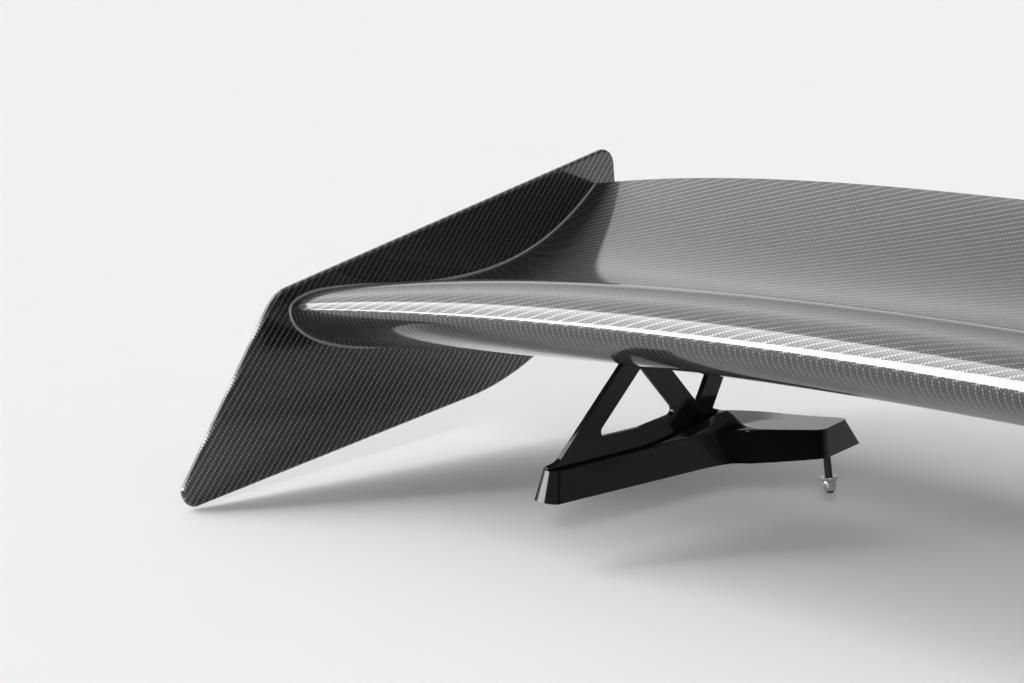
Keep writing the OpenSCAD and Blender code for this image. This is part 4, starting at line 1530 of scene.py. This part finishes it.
    def rail(self) -> bpy.types.Object:
        """The thicker strip over the foot screws.

        Returns:
            The strip, to be joined.
        """
        ys = np.linspace(FOOT.screw_y[0] - 12, FOOT.screw_y[2] + 12, self.steps)
        low = self.on_foot(ys)
        high = low - self.gap + self.bolt_rail_h
        outline = np.column_stack([np.r_[ys, ys[::-1]], np.r_[low, high[::-1]]])
        x = -FOOT.upright_x + self.thickness / 2 - self.rail_t
        return bevelled(prism("rail", outline, x, self.rail_t - self.thickness / 2), self.rail_edge_r)

    def blade_flange(self) -> bpy.types.Object:
        """The flange under the blade, with its front outer corner swept back.

        Returns:
            The flange, to be joined.
        """
        x0, x1, front, back = self.flange
        depth, until, over = self.sweep
        rings = []
        for y in np.linspace(front, back, 40):
            start = depth * min(1.0, max(0.0, (until - y) / over)) ** 2
            top = [(px, y, float(self.below_blade(px, y))) for px in np.linspace(x0 + start, x1, 6)]
            rings.append(top + [(px, py, pz - self.flange_t) for px, py, pz in top[::-1]])
        return bevelled(closed("flange", rings), self.flange_edge_r)

    def build(self) -> list[bpy.types.Object]:
        """Cuts the plate, joins its rail and flange, and drills it.

        Returns:
            The right upright and the left one.
        """
        x = -FOOT.upright_x - self.thickness / 2
        made = prism("right_truss_upright", self.outline(), x, self.thickness)
        cut(made, [prism("window", w, x - 2, self.thickness + 4) for w in (self.triangle(), self.vee())])
        bevelled(made, self.edge_r)
        cut(made, [self.rail(), self.blade_flange()], "UNION")
        tools = []
        for y in self.screw_y:
            z = min(float(self.below_blade(self.screw_x + k, y)) for k in (-5, 0, 5)) - self.flange_t
            at = (self.screw_x, y, z)
            tools.append(cylinder(self.screw_hole_r, at, -2, 12))
            tools.append(cylinder(self.spot_r, at, -20, self.spot_depth))
        for y in FOOT.screw_y:
            tools.append(cylinder(self.foot_screw_r, (FOOT.screw_x, y, float(self.on_foot(y))), -2, 10))
        cut(made, tools)
        return pair(made, "left_truss_upright", GLOSS_BLACK, ("right_upright", "left_upright"))


# ---- Carried-over CAD nodes ------------------------------------------------


@dataclass
class CadDress:
    """Materials and softened edges for the nodes that keep their CAD shape."""

    soft_edges: dict[str, float] = field(default_factory=lambda: {"_nut": 0.25, "_washer": 0.15})

    def dress(self) -> None:
        """Gives every node that still shows its finish."""
        for row in frame["record"]["subparts"]:
            name, finish = row["node"], FINISHES[row["material_slot"]]
            obj = bpy.data.objects.get(name)
            if obj is None or obj.hide_render:
                continue
            if not obj.material_slots:
                obj.data.materials.append(None)
            for slot in obj.material_slots:
                slot.link = "OBJECT"
                slot.material = finish.material()
            for ending, width in self.soft_edges.items():
                if name.endswith(ending):
                    self.soften(obj, width)

    @staticmethod
    def soften(obj: bpy.types.Object, width: float) -> None:
        """Rounds the edges of a node.

        Args:
            obj: The node.
            width: Width of the rounding in millimetres.
        """
        weld = obj.modifiers.new("weld", "WELD")
        weld.merge_threshold = 0.001 * MM
        plane = obj.modifiers.new("plane", "DECIMATE")
        plane.decimate_type, plane.angle_limit = "DISSOLVE", math.radians(0.6)
        edge = obj.modifiers.new("edge", "BEVEL")
        edge.width, edge.segments = width * MM, 2
        edge.limit_method, edge.angle_limit = "ANGLE", math.radians(32)
        edge.harden_normals = True


# ---- Studio ----------------------------------------------------------------


@dataclass
class Studio:
    """Pale floor, far soft light and camera.

    The light is described about the car's width: a turn in degrees runs from rearward, over
    the top, to forward, and aside is the sideways part of a direction, -1 to the right side.
    """

    backdrop: float = 0.887
    ambient: tuple[float, float] = (0.36, 0.42)
    floor_z: float = -0.0485
    floor_size: float = 40.0
    floor_tones: tuple[tuple[float, ...], ...] = ((0.79, 0.79, 0.794, 1.0), (0.81, 0.81, 0.812, 1.0))
    arc: tuple[tuple[float, float], ...] = (
        (0, 0.1), (4, 0.5), (14, 0.4), (18, 0.0), (25, 0.2), (35, 0.6), (45, 1.2), (57, 0.9), (70, 0.7),
        (92.5, 0.7), (95.0, 5.6), (102, 5.4), (110, 4.9), (118, 4.2), (128, 3.6), (137, 3.1),
        (150, 2.8), (165, 2.7), (180, 2.2))
    arc_aside: tuple[float, float] = (-0.93, -0.5)
    arc_soft: float = 0.06
    strip_turn: float = 137.0
    strip_slant: float = -177.0
    strip_aside: tuple[float, float] = (-0.85, -0.5)
    strip_centre: float = -0.58
    strip_edge: float = 1.5
    strip_soft: float = 0.04
    strip_level: float = 12.0
    key_from: tuple[float, float, float] = (0.57, -0.72, 0.42)
    key_strength: float = 0.9
    key_angle: float = 7.0
    lens: float = 87.9
    camera_at: tuple[float, float, float] = (0.8057, -1.2612, 0.4946)
    camera_tilt: float = 78.0
    camera_turn: float = 46.0

    def build(self) -> None:
        """Sets the light, the floor and the camera."""
        scene = bpy.context.scene
        scene.view_settings.view_transform = "Standard"
        self.world(scene)
        self.floor()
        self.key()
        self.camera(scene)

    def world(self, scene: bpy.types.Scene) -> None:
        """Even backdrop for the camera; a dim sky with soft light for everything else.

        Args:
            scene: The scene.
        """
        world = bpy.data.worlds.new("studio")
        world.use_nodes = True
        world.node_tree.nodes.clear()
        g = Graph(world.node_tree)
        x, y, z = g.add("SeparateXYZ", g.add("TexCoord").outputs["Generated"]).outputs
        turn = g.math("DEGREES", g.math("ARCTAN2", z, y))
        arc = g.math("MULTIPLY", g.curve(turn, self.arc), g.window(x, *self.arc_aside, self.arc_soft))
        aside = g.math("SUBTRACT", x, self.strip_centre)
        edge = g.math("ADD", g.math("MULTIPLY", aside, self.strip_slant), self.strip_turn)
        past = g.ramp(g.math("SUBTRACT", turn, edge), -self.strip_edge, self.strip_edge)
        strip = g.math("MULTIPLY", past, self.strip_level)
        strip = g.math("MULTIPLY", strip, g.window(x, *self.strip_aside, self.strip_soft))
        level = g.math("ADD", g.ramp(z, 0.0, 1.0, *self.ambient), g.math("ADD", arc, strip))
        seen = g.add("Background", (self.backdrop,) * 3 + (1.0,), 1.0)
        lit = g.add("Background", (1.0, 1.0, 1.0, 1.0), level)
        camera = g.add("LightPath").outputs["Is Camera Ray"]
        mixed = g.add("MixShader", camera, lit.outputs[0], seen.outputs[0])
        g.add("OutputWorld", mixed.outputs[0])
        scene.world = world

    def key(self) -> None:
        """The one lamp, which casts the soft shadow."""
        data = bpy.data.lights.new("key", "SUN")
        data.energy, data.angle = self.key_strength, math.radians(self.key_angle)
        lamp = bpy.data.objects.new("key", data)
        bpy.context.scene.collection.objects.link(lamp)
        lamp.rotation_euler = Vector(self.key_from).to_track_quat("Z", "Y").to_euler()

    def floor(self) -> None:
        """The pale floor that the wing stands on."""
        bpy.ops.mesh.primitive_plane_add(size=self.floor_size, location=(0, 0, self.floor_z))
        floor = bpy.context.active_object
        floor.name = "floor"
        made = bpy.data.materials.new("pale_floor")
        made.use_nodes = True
        made.node_tree.nodes.clear()
        g = Graph(made.node_tree)
        grain = g.noise(g.add("TexCoord").outputs["Object"], 6.0)
        tone = g.colour(grain, *self.floor_tones)
        matt = g.add("BsdfDiffuse", tone)
        g.add("OutputMaterial", matt.outputs[0])
        floor.data.materials.append(made)
        floor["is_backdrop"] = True

    def camera(self, scene: bpy.types.Scene) -> None:
        """Places the camera.

        Args:
            scene: The scene.
        """
        data = bpy.data.cameras.new("camera")
        data.sensor_width, data.lens = 36.0, self.lens
        data.clip_end = 100.0
        camera = bpy.data.objects.new("camera", data)
        camera.location = self.camera_at
        camera.rotation_euler = (math.radians(self.camera_tilt), 0.0, math.radians(self.camera_turn))
        scene.collection.objects.link(camera)
        scene.camera = camera


class RearWing:
    """The sub-assemblies in the order in which they are built, and the CAD's box."""

    def __init__(self) -> None:
        """Takes the CAD's box before anything is added."""
        self.cad_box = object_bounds()
        self.studio = Studio()
        self.parts = [BladeSkin(Face.UPPER, cloth_turn=-24.5), BladeSkin(Face.LOWER, cloth_turn=45.0),
                      EndPlate(), ResinBead(), Foot(), Upright()]

    def write_size(self) -> None:
        """Updates the view layer; nothing is written."""
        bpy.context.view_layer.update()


def main() -> None:
    """Builds the wing's sub-assemblies in order and reports each piece."""
    logging.basicConfig(level=logging.INFO, format="%(name)s: %(message)s")
    wing = RearWing()
    wing.studio.build()
    for part in wing.parts:
        for piece in part.build():
            log.info("built %s, %d faces", piece.name, len(piece.data.polygons))
    CadDress().dress()
    wing.write_size()


if __name__ == "__main__":
    main()
